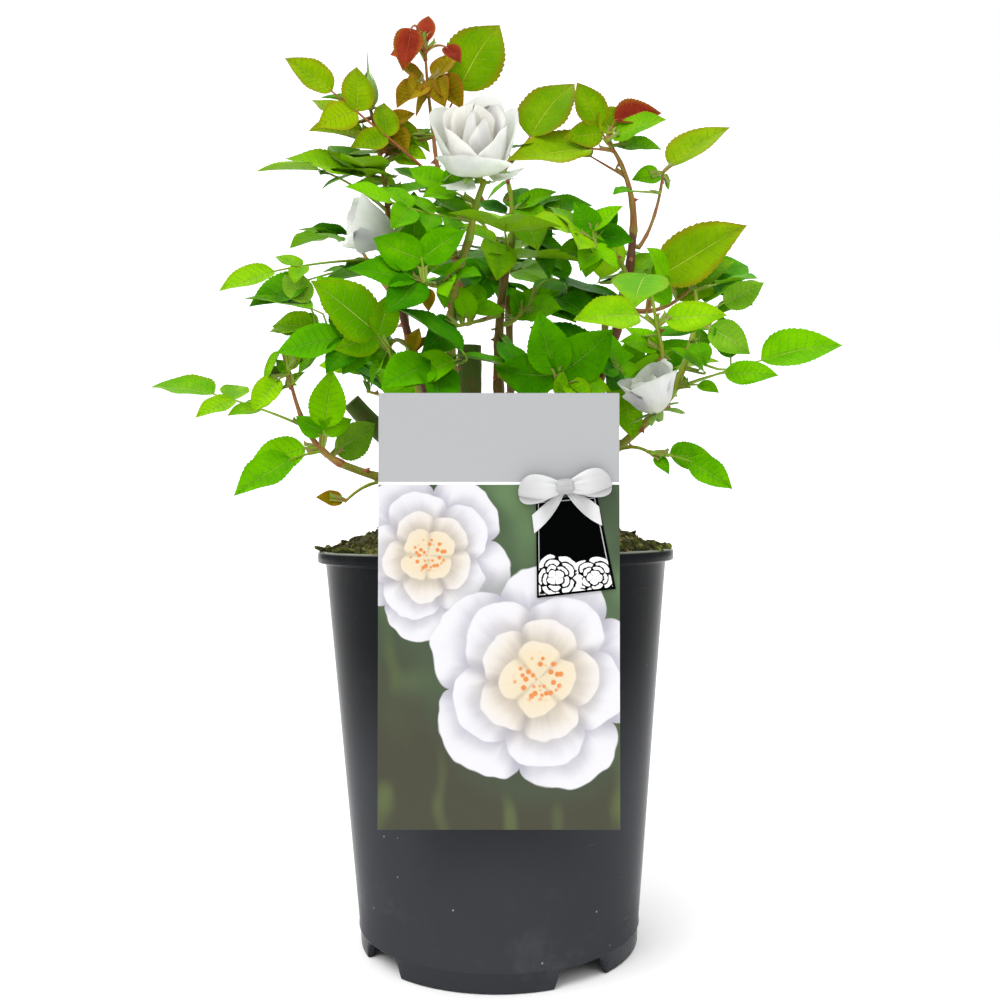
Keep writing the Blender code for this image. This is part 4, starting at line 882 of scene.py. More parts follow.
def zigzag(g, value):
    """0 to 1 and back as a value runs from 0 to 2."""
    return g.math("PINGPONG", value, 1.0)


def stem_tree():
    """Stems that follow the edges of a mesh, with bark relief and a mirrored map."""
    g, given = open_tree("stem_tree", (
        ("Sides", "Int", 10),
        ("Relief", "Float", 0.05),
        ("Relief scale", "Float", 260.0),
        ("Map length", "Float", 0.05),
        ("Finish", "Material", None)))
    along = g.get("GeometryNodeSplineParameter", at="Length")
    around = g.get("GeometryNodeSplineParameter", at="Factor")
    curve = g.get("GeometryNodeMeshToCurve", {"Mesh": given["Geometry"]})
    curve = stored(g, curve, "along", along, "FLOAT", "POINT")
    ring = g.get("GeometryNodeCurvePrimitiveCircle", {"Resolution": given["Sides"], "Radius": 1.0})
    ring = stored(g, ring, "around", zigzag(g, around * 2.0), "FLOAT", "POINT")
    inputs = {"Curve": curve, "Profile Curve": ring, "Fill Caps": True,
              "Scale": named(g, "thickness")}
    mesh = g.get("GeometryNodeCurveToMesh", inputs)
    normal = g.get("GeometryNodeInputNormal")
    lumps = g.noise(g.get("GeometryNodeInputPosition"), given["Relief scale"], 4.0, 0.6) - 0.5
    offset = g.scaled(normal, lumps * given["Relief"] * named(g, "thickness"))
    mesh = g.get("GeometryNodeSetPosition", {"Geometry": mesh, "Offset": offset})
    up = zigzag(g, named(g, "along") / given["Map length"])
    spot = g.join(named(g, "around"), up)
    mesh = stored(g, mesh, MAP_NAME, spot, "FLOAT2", "CORNER")
    mesh = g.get("GeometryNodeSetShadeSmooth", {"Geometry": mesh})
    return close_tree(g, mesh, given["Finish"])


def scatter_tree(tiles):
    """Shapes of a collection set on points that say which, how big and how turned.

    With tiles, each shape's map goes to its own tile of the leaf map.
    """
    g, given = open_tree("leaf_tree" if tiles else "scatter_tree", (
        ("Shapes", "Collection", None),
        ("Size", "Float", 1.0),
        ("Width", "Float", 1.0),
        ("Lift", "Float", 1.0),
        ("Finish", "Material", None)))
    factor = g.join(given["Width"], 1.0, given["Lift"])
    grown = g.vector("MULTIPLY", named(g, "size", "FLOAT_VECTOR"), factor)
    grown = g.scaled(grown, given["Size"])
    spots = g.get("GeometryNodeInstanceOnPoints", {
        "Points": given["Geometry"], "Instance": shapes_of(g, given["Shapes"]),
        "Pick Instance": True, "Instance Index": named(g, "shape", "INT"),
        "Rotation": named(g, "turn", "FLOAT_VECTOR"), "Scale": grown})
    if tiles:
        spots = g.get("GeometryNodeRealizeInstances", {0: spots})
        own = named(g, MAP_NAME, "FLOAT_VECTOR")
        tile = g.split(named(g, "tile", "FLOAT_VECTOR"))
        upper = g.split(own)[0] < 0.5
        shift = g.join(tile[0] * upper, tile[1])
        spots = stored(g, spots, MAP_NAME, g.vector("ADD", own, shift), "FLOAT2", "CORNER")
    return close_tree(g, spots, given["Finish"])


def crumb_tree():
    """Crumbs strewn over a surface."""
    g, given = open_tree("crumb_tree", (
        ("Shapes", "Collection", None),
        ("Spacing", "Float", 0.002),
        ("Density", "Float", 90000.0),
        ("Smallest", "Float", 0.0006),
        ("Largest", "Float", 0.0026),
        ("Seed", "Int", 4),
        ("Finish", "Material", None)))
    strewn = g.get("GeometryNodeDistributePointsOnFaces", {
        "Mesh": given["Geometry"], "Distance Min": given["Spacing"],
        "Density Max": given["Density"], "Seed": given["Seed"]},
        distribute_method="POISSON")
    luck = g.get("FunctionNodeRandomValue", {"Seed": given["Seed"]}, 1, data_type="FLOAT")
    size = given["Smallest"] + luck ** 2.4 * (given["Largest"] - given["Smallest"])
    turn = g.get("FunctionNodeRandomValue", {
        "Seed": given["Seed"] + 1.0, 0: (-0.5, -0.5, 0.0), 1: (0.5, 0.5, math.tau)},
        data_type="FLOAT_VECTOR")
    pick = g.get("FunctionNodeRandomValue", {"Seed": given["Seed"] + 2.0, 4: 0, 5: 99}, 2,
                 data_type="INT")
    placed = g.get("GeometryNodeInstanceOnPoints", {
        "Points": strewn, "Instance": shapes_of(g, given["Shapes"]), "Pick Instance": True,
        "Instance Index": pick, "Rotation": turn, "Scale": size})
    return close_tree(g, placed, given["Finish"])


class Shapes:
    """Collection of shapes for a tree to set, taken out again when it is done."""

    def __init__(self, name, meshes):
        self.collection = bpy.data.collections.new(name)
        bpy.context.scene.collection.children.link(self.collection)
        for k, mesh in enumerate(meshes):
            obj = bpy.data.objects.new("%s_%02d" % (name, k), mesh)
            self.collection.objects.link(obj)

    def remove(self):
        for obj in list(self.collection.objects):
            bpy.data.objects.remove(obj, do_unlink=True)
        bpy.data.collections.remove(self.collection)


def point_cloud(name, spots):
    """Mesh of points with the turn, size, tile and number of the shape of each."""
    mesh = bpy.data.meshes.new(name)
    mesh.from_pydata([tuple(own["place"]) for own in spots], [], [])
    for title in ("turn", "size", "tile", "shape"):
        kind, key = ("INT", "value") if title == "shape" else ("FLOAT_VECTOR", "vector")
        layer = mesh.attributes.new(title, kind, "POINT")
        for k, own in enumerate(spots):
            setattr(layer.data[k], key, own[title])
    return new_object(name, mesh)


def scatter(name, spots, tree, meshes, mat, **values):
    """Piece of shapes set on spots."""
    shapes = Shapes(name + "_shapes", meshes)
    values.update(Shapes=shapes.collection, Finish=mat)
    obj = run_tree(point_cloud(name, spots), tree, values)
    shapes.remove()
    return obj


def path_object(name, paths):
    """Mesh of polylines, each point with the stem's thickness there."""
    points, edges, widths = [], [], []
    for path in paths:
        first = len(points)
        for point, width in path:
            points.append(tuple(point))
            widths.append(width)
        edges += [(first + k, first + k + 1) for k in range(len(path) - 1)]
    mesh = bpy.data.meshes.new(name)
    mesh.from_pydata(points, edges, [])
    layer = mesh.attributes.new("thickness", "FLOAT", "POINT")
    for k, width in enumerate(widths):
        layer.data[k].value = width
    return new_object(name, mesh)


# ---------------------------------------------------------------- growth of the plant

def parabola(start, end, bow, t):
    """Point on a bowed limb, t from 0 at the start to 1 at the end."""
    return start.lerp(end, t) + bow * (4.0 * t * (1.0 - t))


class Limb(namedtuple("Limb", "start end bow foot_radius tip_radius")):
    """A bowed, tapering stem."""

    def point(self, t):
        return parabola(self.start, self.end, self.bow, t)

    def heading(self, t):
        return (self.end - self.start + self.bow * (4.0 - 8.0 * t)).normalized()

    def radius(self, t):
        return self.foot_radius + (self.tip_radius - self.foot_radius) * t

    def length(self):
        return (self.end - self.start).length


def metres(values):
    """Vector in metres from millimetres."""
    return Vector(values) * MM


def direction(bearing, rise):
    """Unit vector from a bearing and a rise in degrees."""
    b = math.radians(bearing)
    r = math.radians(rise)
    return Vector((math.cos(r) * math.cos(b), math.cos(r) * math.sin(b), math.sin(r)))


def first_heading(root, row):
    """Way a limb of CANES or SHOOTS sets out from its root."""
    tip, bow, _, _ = row[-4:]
    return (metres(tip) - root + metres(bow) * 4.0).normalized()


def footed_limb(root, out, distance, row):
    """Limb whose foot, out of its root, is just clear of what it grows from."""
    tip, bow, foot_radius, tip_radius = row[-4:]
    lean = math.sqrt(max(0.0, 1.0 - first_heading(root, row).dot(out) ** 2))
    start = root + out * (distance + foot_radius * MM * lean)
    return Limb(start, metres(tip), metres(bow), foot_radius * MM, tip_radius * MM)


def cane_limb(row):
    """Limb for a row of CANES, on the stem base."""
    out = direction(row[1], row[2])
    return footed_limb(KNOB_CENTRE + out * KNOB_RADIUS, out, CLEAR, row)


def shoot_limb(row, canes):
    """Limb for a row of SHOOTS, on its cane."""
    cane, place = canes[row[1]], row[2]
    root, out = cane.point(place), cane.heading(place)
    if place >= 0.999:
        return footed_limb(root, out, CLEAR, row)
    heading = first_heading(root, row)
    out = (heading - out * heading.dot(out)).normalized()
    return footed_limb(root, out, CLEAR + cane.radius(place), row)


def square_face(heading, face):
    """Unit heading, and the unit face square to it."""
    heading = heading.normalized()
    return heading, (face - heading * face.dot(heading)).normalized()


def blade(root, heading, face, length):
    """Corners that the solid of a leaf blade has: two rings of four and the tip."""
    heading, face = square_face(heading, face)
    side = face.cross(heading)
    half = LEAF_WIDTH * 0.5 * length
    thick = max(LEAF_THINNEST, LEAF_THICKNESS * length)
    points = []
    for along, width, depth in ((0.36, half, thick), (0.74, 0.70 * half, 0.8 * thick)):
        middle = root + heading * (along * length) - face * (LEAF_DROOP * length * along ** 2)
        rise = face * (width * LEAF_FOLD)
        points.append(middle + side * width + rise)
        points.append(middle + face * (0.5 * depth))
        points.append(middle - side * width + rise)
        points.append(middle - face * (0.5 * depth))
    points.append(root + heading * length - face * (LEAF_DROOP * length))
    return points


class Corners:
    """Corners of a shoot's solid, to tell which leaflets it kept."""

    def __init__(self, node):
        mesh = frame["nodes"][node].data
        self.tree = KDTree(len(mesh.vertices))
        for v in mesh.vertices:
            self.tree.insert(v.co, v.index)
        self.tree.balance()

    def has(self, points):
        """Whether the solid has the blade with these corners."""
        found = sum(1 for p in points if self.tree.find(p)[2] < SAME_PLACE)
        return found >= 3


def bare_share(start, tip, bow, length):
    """Furthest place along a leaf's stalk that leaves room for its end leaflet."""
    for step in range(95, 12, -1):
        t = 0.01 * step
        if (tip - parabola(start, tip, bow, t)).length >= length:
            return t
    return 0.12


def compound_leaf(start, tip, arch, count, length, share, face, rng, corners):
    """Stalk path and leaflets (root, heading, face, length) of one leaf.

    A leaflet that the solid left out, because it met a neighbour, is left out here too.
    """
    bow = UP * arch
    reach = (tip - start).length
    bare = bare_share(start, tip, bow, length)
    pairs = (count - 1) // 2
    places = sorted(bare * (1.0 - 0.22 - 0.28 * k) for k in range(pairs))
    half_joint = 0.8 * MM / reach
    leaflets = []
    for number, place in enumerate(places):
        before = parabola(start, tip, bow, place - half_joint)
        after = parabola(start, tip, bow, place + half_joint)
        root = before.lerp(after, 0.5)
        along, normal = square_face(after - before, face)
        across = normal.cross(along)
        for sign in (1.0, -1.0):
            size = length * share * (1.0 - 0.12 * (pairs - 1 - number)) * rng.uniform(0.92, 1.04)
            found = None
            for swing in (0.0, 0.35, -0.35, 0.7, -0.7):
                angle = math.radians(64.0 + rng.uniform(-8.0, 8.0))
                heading = along * math.cos(angle) + across * (sign * math.sin(angle))
                heading += normal * (rng.uniform(-0.12, 0.16) + swing)
                own_face = normal + across * (sign * (rng.uniform(-0.25, 0.10) - swing))
                if found is None and corners.has(blade(root, heading, own_face, size)):
                    found = heading, own_face
            if found is not None:
                leaflets.append((root, found[0], found[1], size))
    root = parabola(start, tip, bow, bare)
    ahead = tip - root
    if corners.has(blade(root, ahead, face, ahead.length)):
        leaflets.append((root, ahead, face, ahead.length))
    if not leaflets:
        return None
    stalk = [parabola(start, tip, bow, bare * k / 8.0) for k in range(9)]
    return stalk, leaflets


# one grown leaf; its leaflets are (root, heading, face, length)
Leaf = namedtuple("Leaf", "stalk leaflets face tone shoot")


def table_leaves(name, limb, corners):
    """Leaves of a shoot from its rows of LEAVES, which are numbered through the table."""
    leaves = []
    shoots = list(LEAVES)
    before = shoots[:shoots.index(name)] if name in LEAVES else ()
    seed = LEAF_SEED + sum(len(LEAVES[shoot]) for shoot in before)
    for number, row in enumerate(LEAVES.get(name, ())):
        place, tip, arch, count, length, share, tilt, lean, tone = row
        face = direction(lean, 90.0 - tilt)
        start = limb.point(min(place, LAST_PLACE))
        grown = compound_leaf(start, metres(tip), arch * MM, count, length * MM,
                              0.01 * share, face, random.Random(seed + number), corners)
        if grown is not None:
            leaves.append(Leaf(*grown, face, tone, name))
    return leaves


def fan_leaves(name, limb, corners):
    """Leaves of a shoot dealt round it by the rule of FANS."""
    leaves = []
    if name not in FANS:
        return leaves
    count, leaflets, length, reach, bearing, spread, rise, seed = FANS[name]
    rng = random.Random(seed)
    for k in range(count):
        place = 0.15 + 0.83 * k / max(1, count - 1)
        turn = (k * 0.618034 % 1.0 - 0.5) * spread
        own_bearing = bearing + turn + rng.uniform(-8.0, 8.0)
        own_rise = rise + rng.uniform(-14.0, 18.0)
        own_reach = reach * rng.uniform(0.85, 1.05)
        size = length * rng.uniform(0.88, 1.08)
        start = limb.point(min(place, LAST_PLACE))
        tip = start + direction(own_bearing, own_rise) * (own_reach * MM)
        face = direction(own_bearing, 90.0 - rng.uniform(25.0, 50.0))
        grown = compound_leaf(start, tip, 5.0 * MM, leaflets, size * MM,
                              SIDE_SHARE, face, rng, corners)
        if grown is not None:
            leaves.append(Leaf(*grown, face, ("mid", "deep", "bright")[k % 3], name))
    return leaves


def fine_leaves(name, limb):
    """Single leaflets of a shoot from its rows of FINE, each on a thin bent stalk."""
    leaves = []
    for place, foot, tip, shown, tone in FINE.get(name, ()):
        start, root, ahead = limb.point(place), metres(foot), metres(tip) - metres(foot)
        knee = root - ahead.normalized() * (0.6 * (root - start).length)
        shares = [0.2 * k for k in range(6)]
        stalk = [start.lerp(knee, t).lerp(knee.lerp(root, t), t) for t in shares]
        face = Vector((0.0, -shown, math.sqrt(1.0 - shown * shown)))
        leaves.append(Leaf(stalk, [(root, ahead, face, ahead.length)], face, tone, name))
    return leaves


def grow():
    """Canes, shoots and leaves of the whole plant."""
    canes = {row[0]: cane_limb(row) for row in CANES}
    shoots = {row[0]: shoot_limb(row, canes) for row in SHOOTS}
    leaves = []
    for name, limb in shoots.items():
        corners = Corners(name)
        leaves += table_leaves(name, limb, corners)
        leaves += fan_leaves(name, limb, corners)
        leaves += fine_leaves(name, limb)
    return canes, shoots, leaves


# ---------------------------------------------------------------- leaves

# share along the blade and half width there, of the widest
BLADE_OUTLINE = (
    (0.00, 0.00), (0.03, 0.30), (0.07, 0.52), (0.12, 0.70), (0.20, 0.86), (0.30, 0.97),
    (0.38, 1.00), (0.48, 0.975), (0.58, 0.89), (0.68, 0.74), (0.78, 0.54), (0.87, 0.32),
    (0.94, 0.14), (1.00, 0.0),
)
STATIONS = (0.0, 0.04, 0.15, 0.28, 0.41, 0.54, 0.67, 0.80, 0.91, 1.0)
# place of a blade's point across it, and on the way to the next station
ROLES = {
    "mid": (0.0, 0.0), "near": (0.50, 0.0), "edge": (0.97, 0.0),
    "tooth": (1.03, 0.38), "notch": (0.985, 0.50), "cusp": (1.03, 0.88),
    "low": (0.0, 0.0), "under": (0.50, 0.0),
}
PUCKER = 0.0075                   # height of the swellings between the veins
BLADE_THICKNESS = 0.011
MIDRIB_DEPTH = 0.015


def outline_width(t):
    """Half width of a blade, as a share of its widest."""
    for (t0, w0), (t1, w1) in zip(BLADE_OUTLINE, BLADE_OUTLINE[1:]):
        if t <= t1:
            return w0 + (w1 - w0) * (t - t0) / (t1 - t0)
    return 0.0


def blade_shape(name, rng, fold, droop):
    """Leaflet of unit length along +Y, face up: serrated, folded and puckered."""
    last = len(STATIONS) - 1
    half = 0.5 * LEAF_WIDTH * rng.uniform(1.02, 1.12)
    wave = rng.uniform(0.008, 0.026)
    beats = rng.uniform(1.2, 2.2)
    phase = rng.uniform(0.0, math.tau)
    twist = rng.uniform(-0.12, 0.12)
    hook = rng.uniform(-0.3, 0.7)
    sway = rng.uniform(-0.035, 0.035)
    points, index, shares = [], {}, {}

    def depth(role, r):
        if r in (0, last):
            return 0.0
        beat = 1.4 if r % 2 else -0.4
        return {"mid": -0.4 * PUCKER, "near": PUCKER * beat, "low": -MIDRIB_DEPTH,
                "under": PUCKER * beat - BLADE_THICKNESS}.get(role, 0.0)

    def keep(role, r, sign):
        across, ahead = ROLES[role]
        following = STATIONS[min(last, r + 1)]
        t = STATIONS[r] + ahead * (following - STATIONS[r])
        a = across * sign
        width = outline_width(t)
        x = a * half * width
        z = fold * abs(a) ** 1.15 * half * width - droop * t * t + twist * x * t
        lag = 0.9 if a > 0.0 else 0.0
        z += wave * width * a * a * math.sin(math.tau * beats * t + phase + lag)
        z -= hook * max(0.0, t - 0.75) ** 2
        index[role, r, sign] = len(points)
        shares[role, r, sign] = (a, t)
        points.append(Vector((x + sway * math.sin(math.pi * t), t, z + depth(role, r))))

    for r in range(last + 1):
        for role in ("mid", "low"):
            keep(role, r, 0)
        for sign in (-1, 1):
            for role in ("near", "under", "edge"):
                keep(role, r, sign)
            if 0 < r < last:
                for role in ("tooth", "notch", "cusp"):
                    keep(role, r, sign)
    faces, corners = [], []

    def face(keys, below, sign):
        if below:
            keys = keys[::-1]
        if sign < 0:
            keys = keys[::-1]
        faces.append(tuple(index[key] for key in keys))
        for key in keys:
            a, t = shares[key]
            column = 0.75 if below else 0.0
            corners.append((0.25 * (0.5 + 0.455 * a) + column, 0.25 * (0.03 + 0.94 * t)))

    for r in range(last):
        s = r + 1
        for sign in (-1, 1):
            rim = [("edge", r, sign), ("edge", s, sign)]
            if r:
                rim[1:1] = [(role, r, sign) for role in ("tooth", "notch", "cusp")]
            turn = len(rim) // 2 if s < last else len(rim) - 1
            for inner, outer, below in (("mid", "near", False), ("low", "under", True)):
                first, second = (outer, r, sign), (outer, s, sign)
                face([(inner, r, 0), first, second, (inner, s, 0)], below, sign)
                for k in range(len(rim) - 1):
                    face([first if k < turn else second, rim[k], rim[k + 1]], below, sign)
                face([first, rim[turn], second], below, sign)
    return merged(Soup().add(points, faces, corners).mesh(name))


def merged(mesh):
    """The mesh with its doubled points merged and its faces smooth."""
    bm = bmesh.new()
    bm.from_mesh(mesh)
    bmesh.ops.remove_doubles(bm, verts=bm.verts, dist=1e-5)
    bmesh.ops.dissolve_degenerate(bm, edges=bm.edges, dist=1e-6)
    bm.to_mesh(mesh)
    bm.free()
    return shade(mesh)


# fold and droop of each leaflet shape
BLADE_BENDS = ((0.20, 0.10), (0.30, 0.14), (0.12, 0.08), (0.42, 0.18),
               (0.24, 0.05), (0.16, 0.20), (0.34, 0.08), (0.55, 0.16))
GREEN_BENDS = (0, 1, 2, 4, 5, 6)
YOUNG_BENDS = (3, 7, 1, 6)


def euler_turn(ahead, up):
    """Euler turn that takes +Y and +Z to two directions."""
    return tuple(Matrix((ahead.cross(up), ahead, up)).transposed().to_euler())


def spot(place, turn, size, shape=0, tile=(0.0, 0.0, 0.0)):
    """A place for one shape of a scatter."""
    return {"place": place, "turn": turn, "size": size, "shape": shape, "tile": tile}


def leaf_spots(leaves, seed):
    """Place, turn, size, shape and tile of every leaflet of some leaves."""
    rng = random.Random(seed)
    spots = []
    for leaf in leaves:
        bends = YOUNG_BENDS if leaf.tone in ("red", "olive") else GREEN_BENDS
        for root, heading, face, size in leaf.leaflets:
            heading, face = square_face(heading, face)
            spots.append(spot(
                root - heading * (0.4 * MM), euler_turn(heading, face),
                (size * rng.uniform(0.96, 1.05), size, size * rng.uniform(0.8, 1.15)),
                rng.choice(bends), (0.25 * rng.randrange(3), 0.25 * rng.randrange(4), 0.0)))
    return spots


# ---------------------------------------------------------------- stems

STEM_SLIM = 0.82                  # a stem's bark against its solid, which is a little stout
STEM_SEED = 17
CANE_JOINTS = 26.0 * MM           # spacing of the joints
SHOOT_JOINTS = 17.0 * MM
STALK_FOOT = 1.25 * MM            # radius where a leaf stalk stands on its shoot
STALK_RADIUS = 0.85 * MM
STALK_TAPER = 0.40 * MM
STALK_TIP = 0.30 * MM
STALK_SINK = 1.6 * MM             # length of a stalk inside its end leaflet
PRICKLE_SEED = 23
CANE_PRICKLES = (12.0 * MM, 4.6 * MM)         # spacing and length
SHOOT_PRICKLES = (15.0 * MM, 3.2 * MM)
STIPULE_LENGTH = 8.0 * MM


def stem_path(limb, foot, rng, spacing):
    """Points and thickness along a limb, swollen a little at its joints.

    foot is where the stem goes into what it grows from.
    """
    steps = max(8, int(limb.length() / (2.2 * MM)))
    joints = []
    here = rng.uniform(0.3, 0.9) * spacing
    while here < limb.length():
        joints.append(here / limb.length())
        here += spacing * rng.uniform(0.75, 1.3)
    sway = limb.heading(0.5).orthogonal().normalized()
    path = [(foot, STEM_SLIM * limb.radius(0.0) * 1.15)]
    for k in range(steps + 1):
        t = k / steps
        swell = 0.0
        for joint in joints:
            off = (t - joint) * limb.length() / (1.5 * limb.radius(t))
            swell = max(swell, math.exp(-off * off))
        flare = 0.35 * math.exp(-t * limb.length() / (2.5 * limb.radius(0.0)))
        zig = math.sin(t * limb.length() / spacing * math.pi) * 0.10 * limb.radius(t)
        width = STEM_SLIM * limb.radius(t) * (1.0 + 0.20 * swell + flare)
        path.append((limb.point(t) + sway * zig, width))
    end = limb.point(1.0) + limb.heading(1.0) * (0.7 * limb.radius(1.0))
    path.append((end, STEM_SLIM * limb.radius(1.0) * 0.45))
    return path


def cut_path(limb, foot):
    """A pruned stub: old wood to a flat, slanting cut."""
    path = [(foot, limb.radius(0.0) * 1.3)]
    for k in range(13):
        t = k / 12.0
        path.append((limb.point(t), limb.radius(t) * (1.16 + 0.06 * math.sin(9.0 * t))))
    return path


def prickle_shape(name, hook):
    """Prickle of unit length along +Z, long-footed along Y and hooked to -Y."""
    rings = ((0.0, 0.30, 0.62, 0.0), (0.16, 0.22, 0.42, -0.03), (0.42, 0.13, 0.22, -0.14 * hook),
             (0.72, 0.065, 0.10, -0.34 * hook))
    sides = 7
    points = []
    for z, wide, long, shift in rings:
        for k in range(sides):
            angle = math.tau * k / sides
            points.append(Vector((wide * math.cos(angle), long * math.sin(angle) + shift, z)))
    points.append(Vector((0.0, -0.62 * hook, 0.97)))
    faces = [tuple(range(sides - 1, -1, -1))]
    for ring in range(len(rings) - 1):
        for k in range(sides):
            j = (k + 1) % sides
            low = ring * sides
            faces.append((low + k, low + j, low + sides + j, low + sides + k))
    top = (len(rings) - 1) * sides
    faces += [(top + k, top + (k + 1) % sides, top + sides) for k in range(sides)]
    return merged(Soup().add(points, faces).mesh(name))


def stipule_shape(name):
    """Pair of narrow wings at the foot of a leaf stalk, unit length along +Y."""
    soup = Soup()
    for sign in (-1.0, 1.0):
        grid = []
        for r in range(7):
            t = r / 6.0
            reach = 0.20 * math.sin(math.pi * min(1.0, 0.15 + 0.62 * t)) + 0.10 * t ** 3
            if r == 6:
                reach = 0.34
            row = []
            for c in range(4):
                u = c / 3.0
                z = 0.16 * u * reach / 0.3 + 0.02 * math.sin(7.0 * t) * u
                row.append(Vector((sign * (0.03 + reach * u), t + 0.10 * u * t, z)))
            grid.append(row if sign > 0.0 else row[::-1])
        soup.add(*shell(grid, 0.03)[:2])
    return merged(soup.mesh(name))


def on_stem(limb, t, bearing):
    """Point on a stem's skin, the way out of it there and the way up along it."""
    along = limb.heading(t)
    first = along.orthogonal().normalized()
    second = along.cross(first)
    out = first * math.cos(bearing) + second * math.sin(bearing)
    return limb.point(t) + out * (0.72 * limb.radius(t)), out, along


def prickle_spots(limbs, rng):
    """Prickles dealt along the stems, points down and out."""
    spots = []
    for limb, spacing, size in limbs:
        here = spacing * rng.uniform(0.5, 1.0)
        bearing = rng.uniform(0.0, math.tau)
        while here < limb.length() - 4.0 * MM:
            t = here / limb.length()
            place, out, along = on_stem(limb, t, bearing)
            length = size * rng.uniform(0.7, 1.15)
            spots.append(spot(place, euler_turn(along, out), (length,) * 3, rng.randrange(3)))
            here += spacing * rng.uniform(0.55, 1.5)
            bearing += math.radians(rng.uniform(100.0, 200.0))
    return spots


# ---------------------------------------------------------------- blooms

# bearing, half spread, profile from foot to lip in shares of radius and length, ruffle, lean
OPEN_PETALS = (
    (60, 95, ((0.04, 0.05), (0.38, 0.20), (0.36, 0.58), (0.05, 0.90)), 0.00, 0.00),
    (205, 84, ((0.05, 0.05), (0.50, 0.18), (0.48, 0.52), (-0.06, 0.94)), 0.01, 0.12),
    (-35, 78, ((0.05, 0.04), (0.54, 0.15), (0.52, 0.45), (0.26, 0.76)), 0.01, 0.06),
    (105, 78, ((0.08, 0.02), (0.72, 0.10), (0.66, 0.62), (0.46, 0.92)), 0.02, 0.00),
    (152, 54, ((0.08, 0.02), (0.78, 0.08), (0.80, 0.50), (0.74, 0.90)), 0.02, -0.05),
    (36, 54, ((0.08, 0.02), (0.78, 0.06), (0.78, 0.50), (0.76, 0.88)), 0.02, 0.05),
    (-140, 52, ((0.08, 0.02), (0.86, 0.02), (0.88, 0.32), (0.80, 0.68)), 0.02, -0.10),
    (-38, 62, ((0.08, 0.00), (0.86, 0.00), (0.90, 0.26), (0.82, 0.60)), 0.02, 0.20),
    (78, 60, ((0.10, 0.00), (0.96, 0.02), (0.94, 0.58), (0.84, 0.98)), 0.04, -0.06),
    (168, 60, ((0.10, 0.00), (1.02, 0.00), (1.08, 0.50), (1.12, 0.90)), 0.02, -0.06),
    (14, 44, ((0.10, 0.00), (1.06, -0.02), (1.10, 0.42), (1.18, 0.80)), 0.02, 0.08),
    (-104, 68, ((0.10, -0.01), (1.00, -0.06), (1.10, 0.12), (1.04, 0.36)), 0.03, -0.08),
    (-18, 40, ((0.12, -0.02), (0.70, -0.10), (1.00, -0.10), (1.18, 0.00)), 0.05, 0.00),
    (-128, 34, ((0.12, -0.02), (0.70, -0.12), (0.95, -0.16), (1.10, -0.12)), 0.05, 0.00),
)
HALF_PETALS = (
    (0, 85, ((0.05, 0.05), (0.40, 0.20), (0.56, 0.60), (0.30, 0.88)), 0.02, 0.00),
    (140, 80, ((0.05, 0.05), (0.46, 0.18), (0.64, 0.60), (0.44, 0.92)), 0.03, 0.05),
    (250, 80, ((0.05, 0.05), (0.48, 0.16), (0.70, 0.60), (0.56, 0.90)), 0.04, -0.05),
    (50, 74, ((0.08, 0.00), (0.50, 0.10), (0.80, 0.50), (0.88, 1.02)), 0.05, 0.00),
    (165, 80, ((0.08, 0.00), (0.52, 0.10), (0.84, 0.50), (0.92, 0.98)), 0.05, 0.05),
    (12, 60, ((0.08, 0.00), (0.58, 0.06), (0.90, 0.44), (1.04, 1.02)), 0.05, 0.08),
    (-92, 98, ((0.08, 0.00), (0.60, 0.04), (0.94, 0.44), (1.00, 0.94)), 0.07, 0.08),
)
PETAL_ROWS = 12
PETAL_COLUMNS = 14


def bezier(profile, t):
    """Point of a cubic curve of (radius, height) pairs."""
    s = 1.0 - t
    weights = (s ** 3, 3.0 * s * s * t, 3.0 * s * t * t, t ** 3)
    return (sum(w * p[0] for w, p in zip(weights, profile)),
            sum(w * p[1] for w, p in zip(weights, profile)))


def flower_frame(axis):
    """Two unit vectors across an axis, the first as near +X as it can be."""
    first = Vector((1.0, 0.0, 0.0))
    if abs(axis.x) > 0.8:
        first = Vector((0.0, 0.0, -1.0))
    first = (first - axis * first.dot(axis)).normalized()
    return first, axis.cross(first)


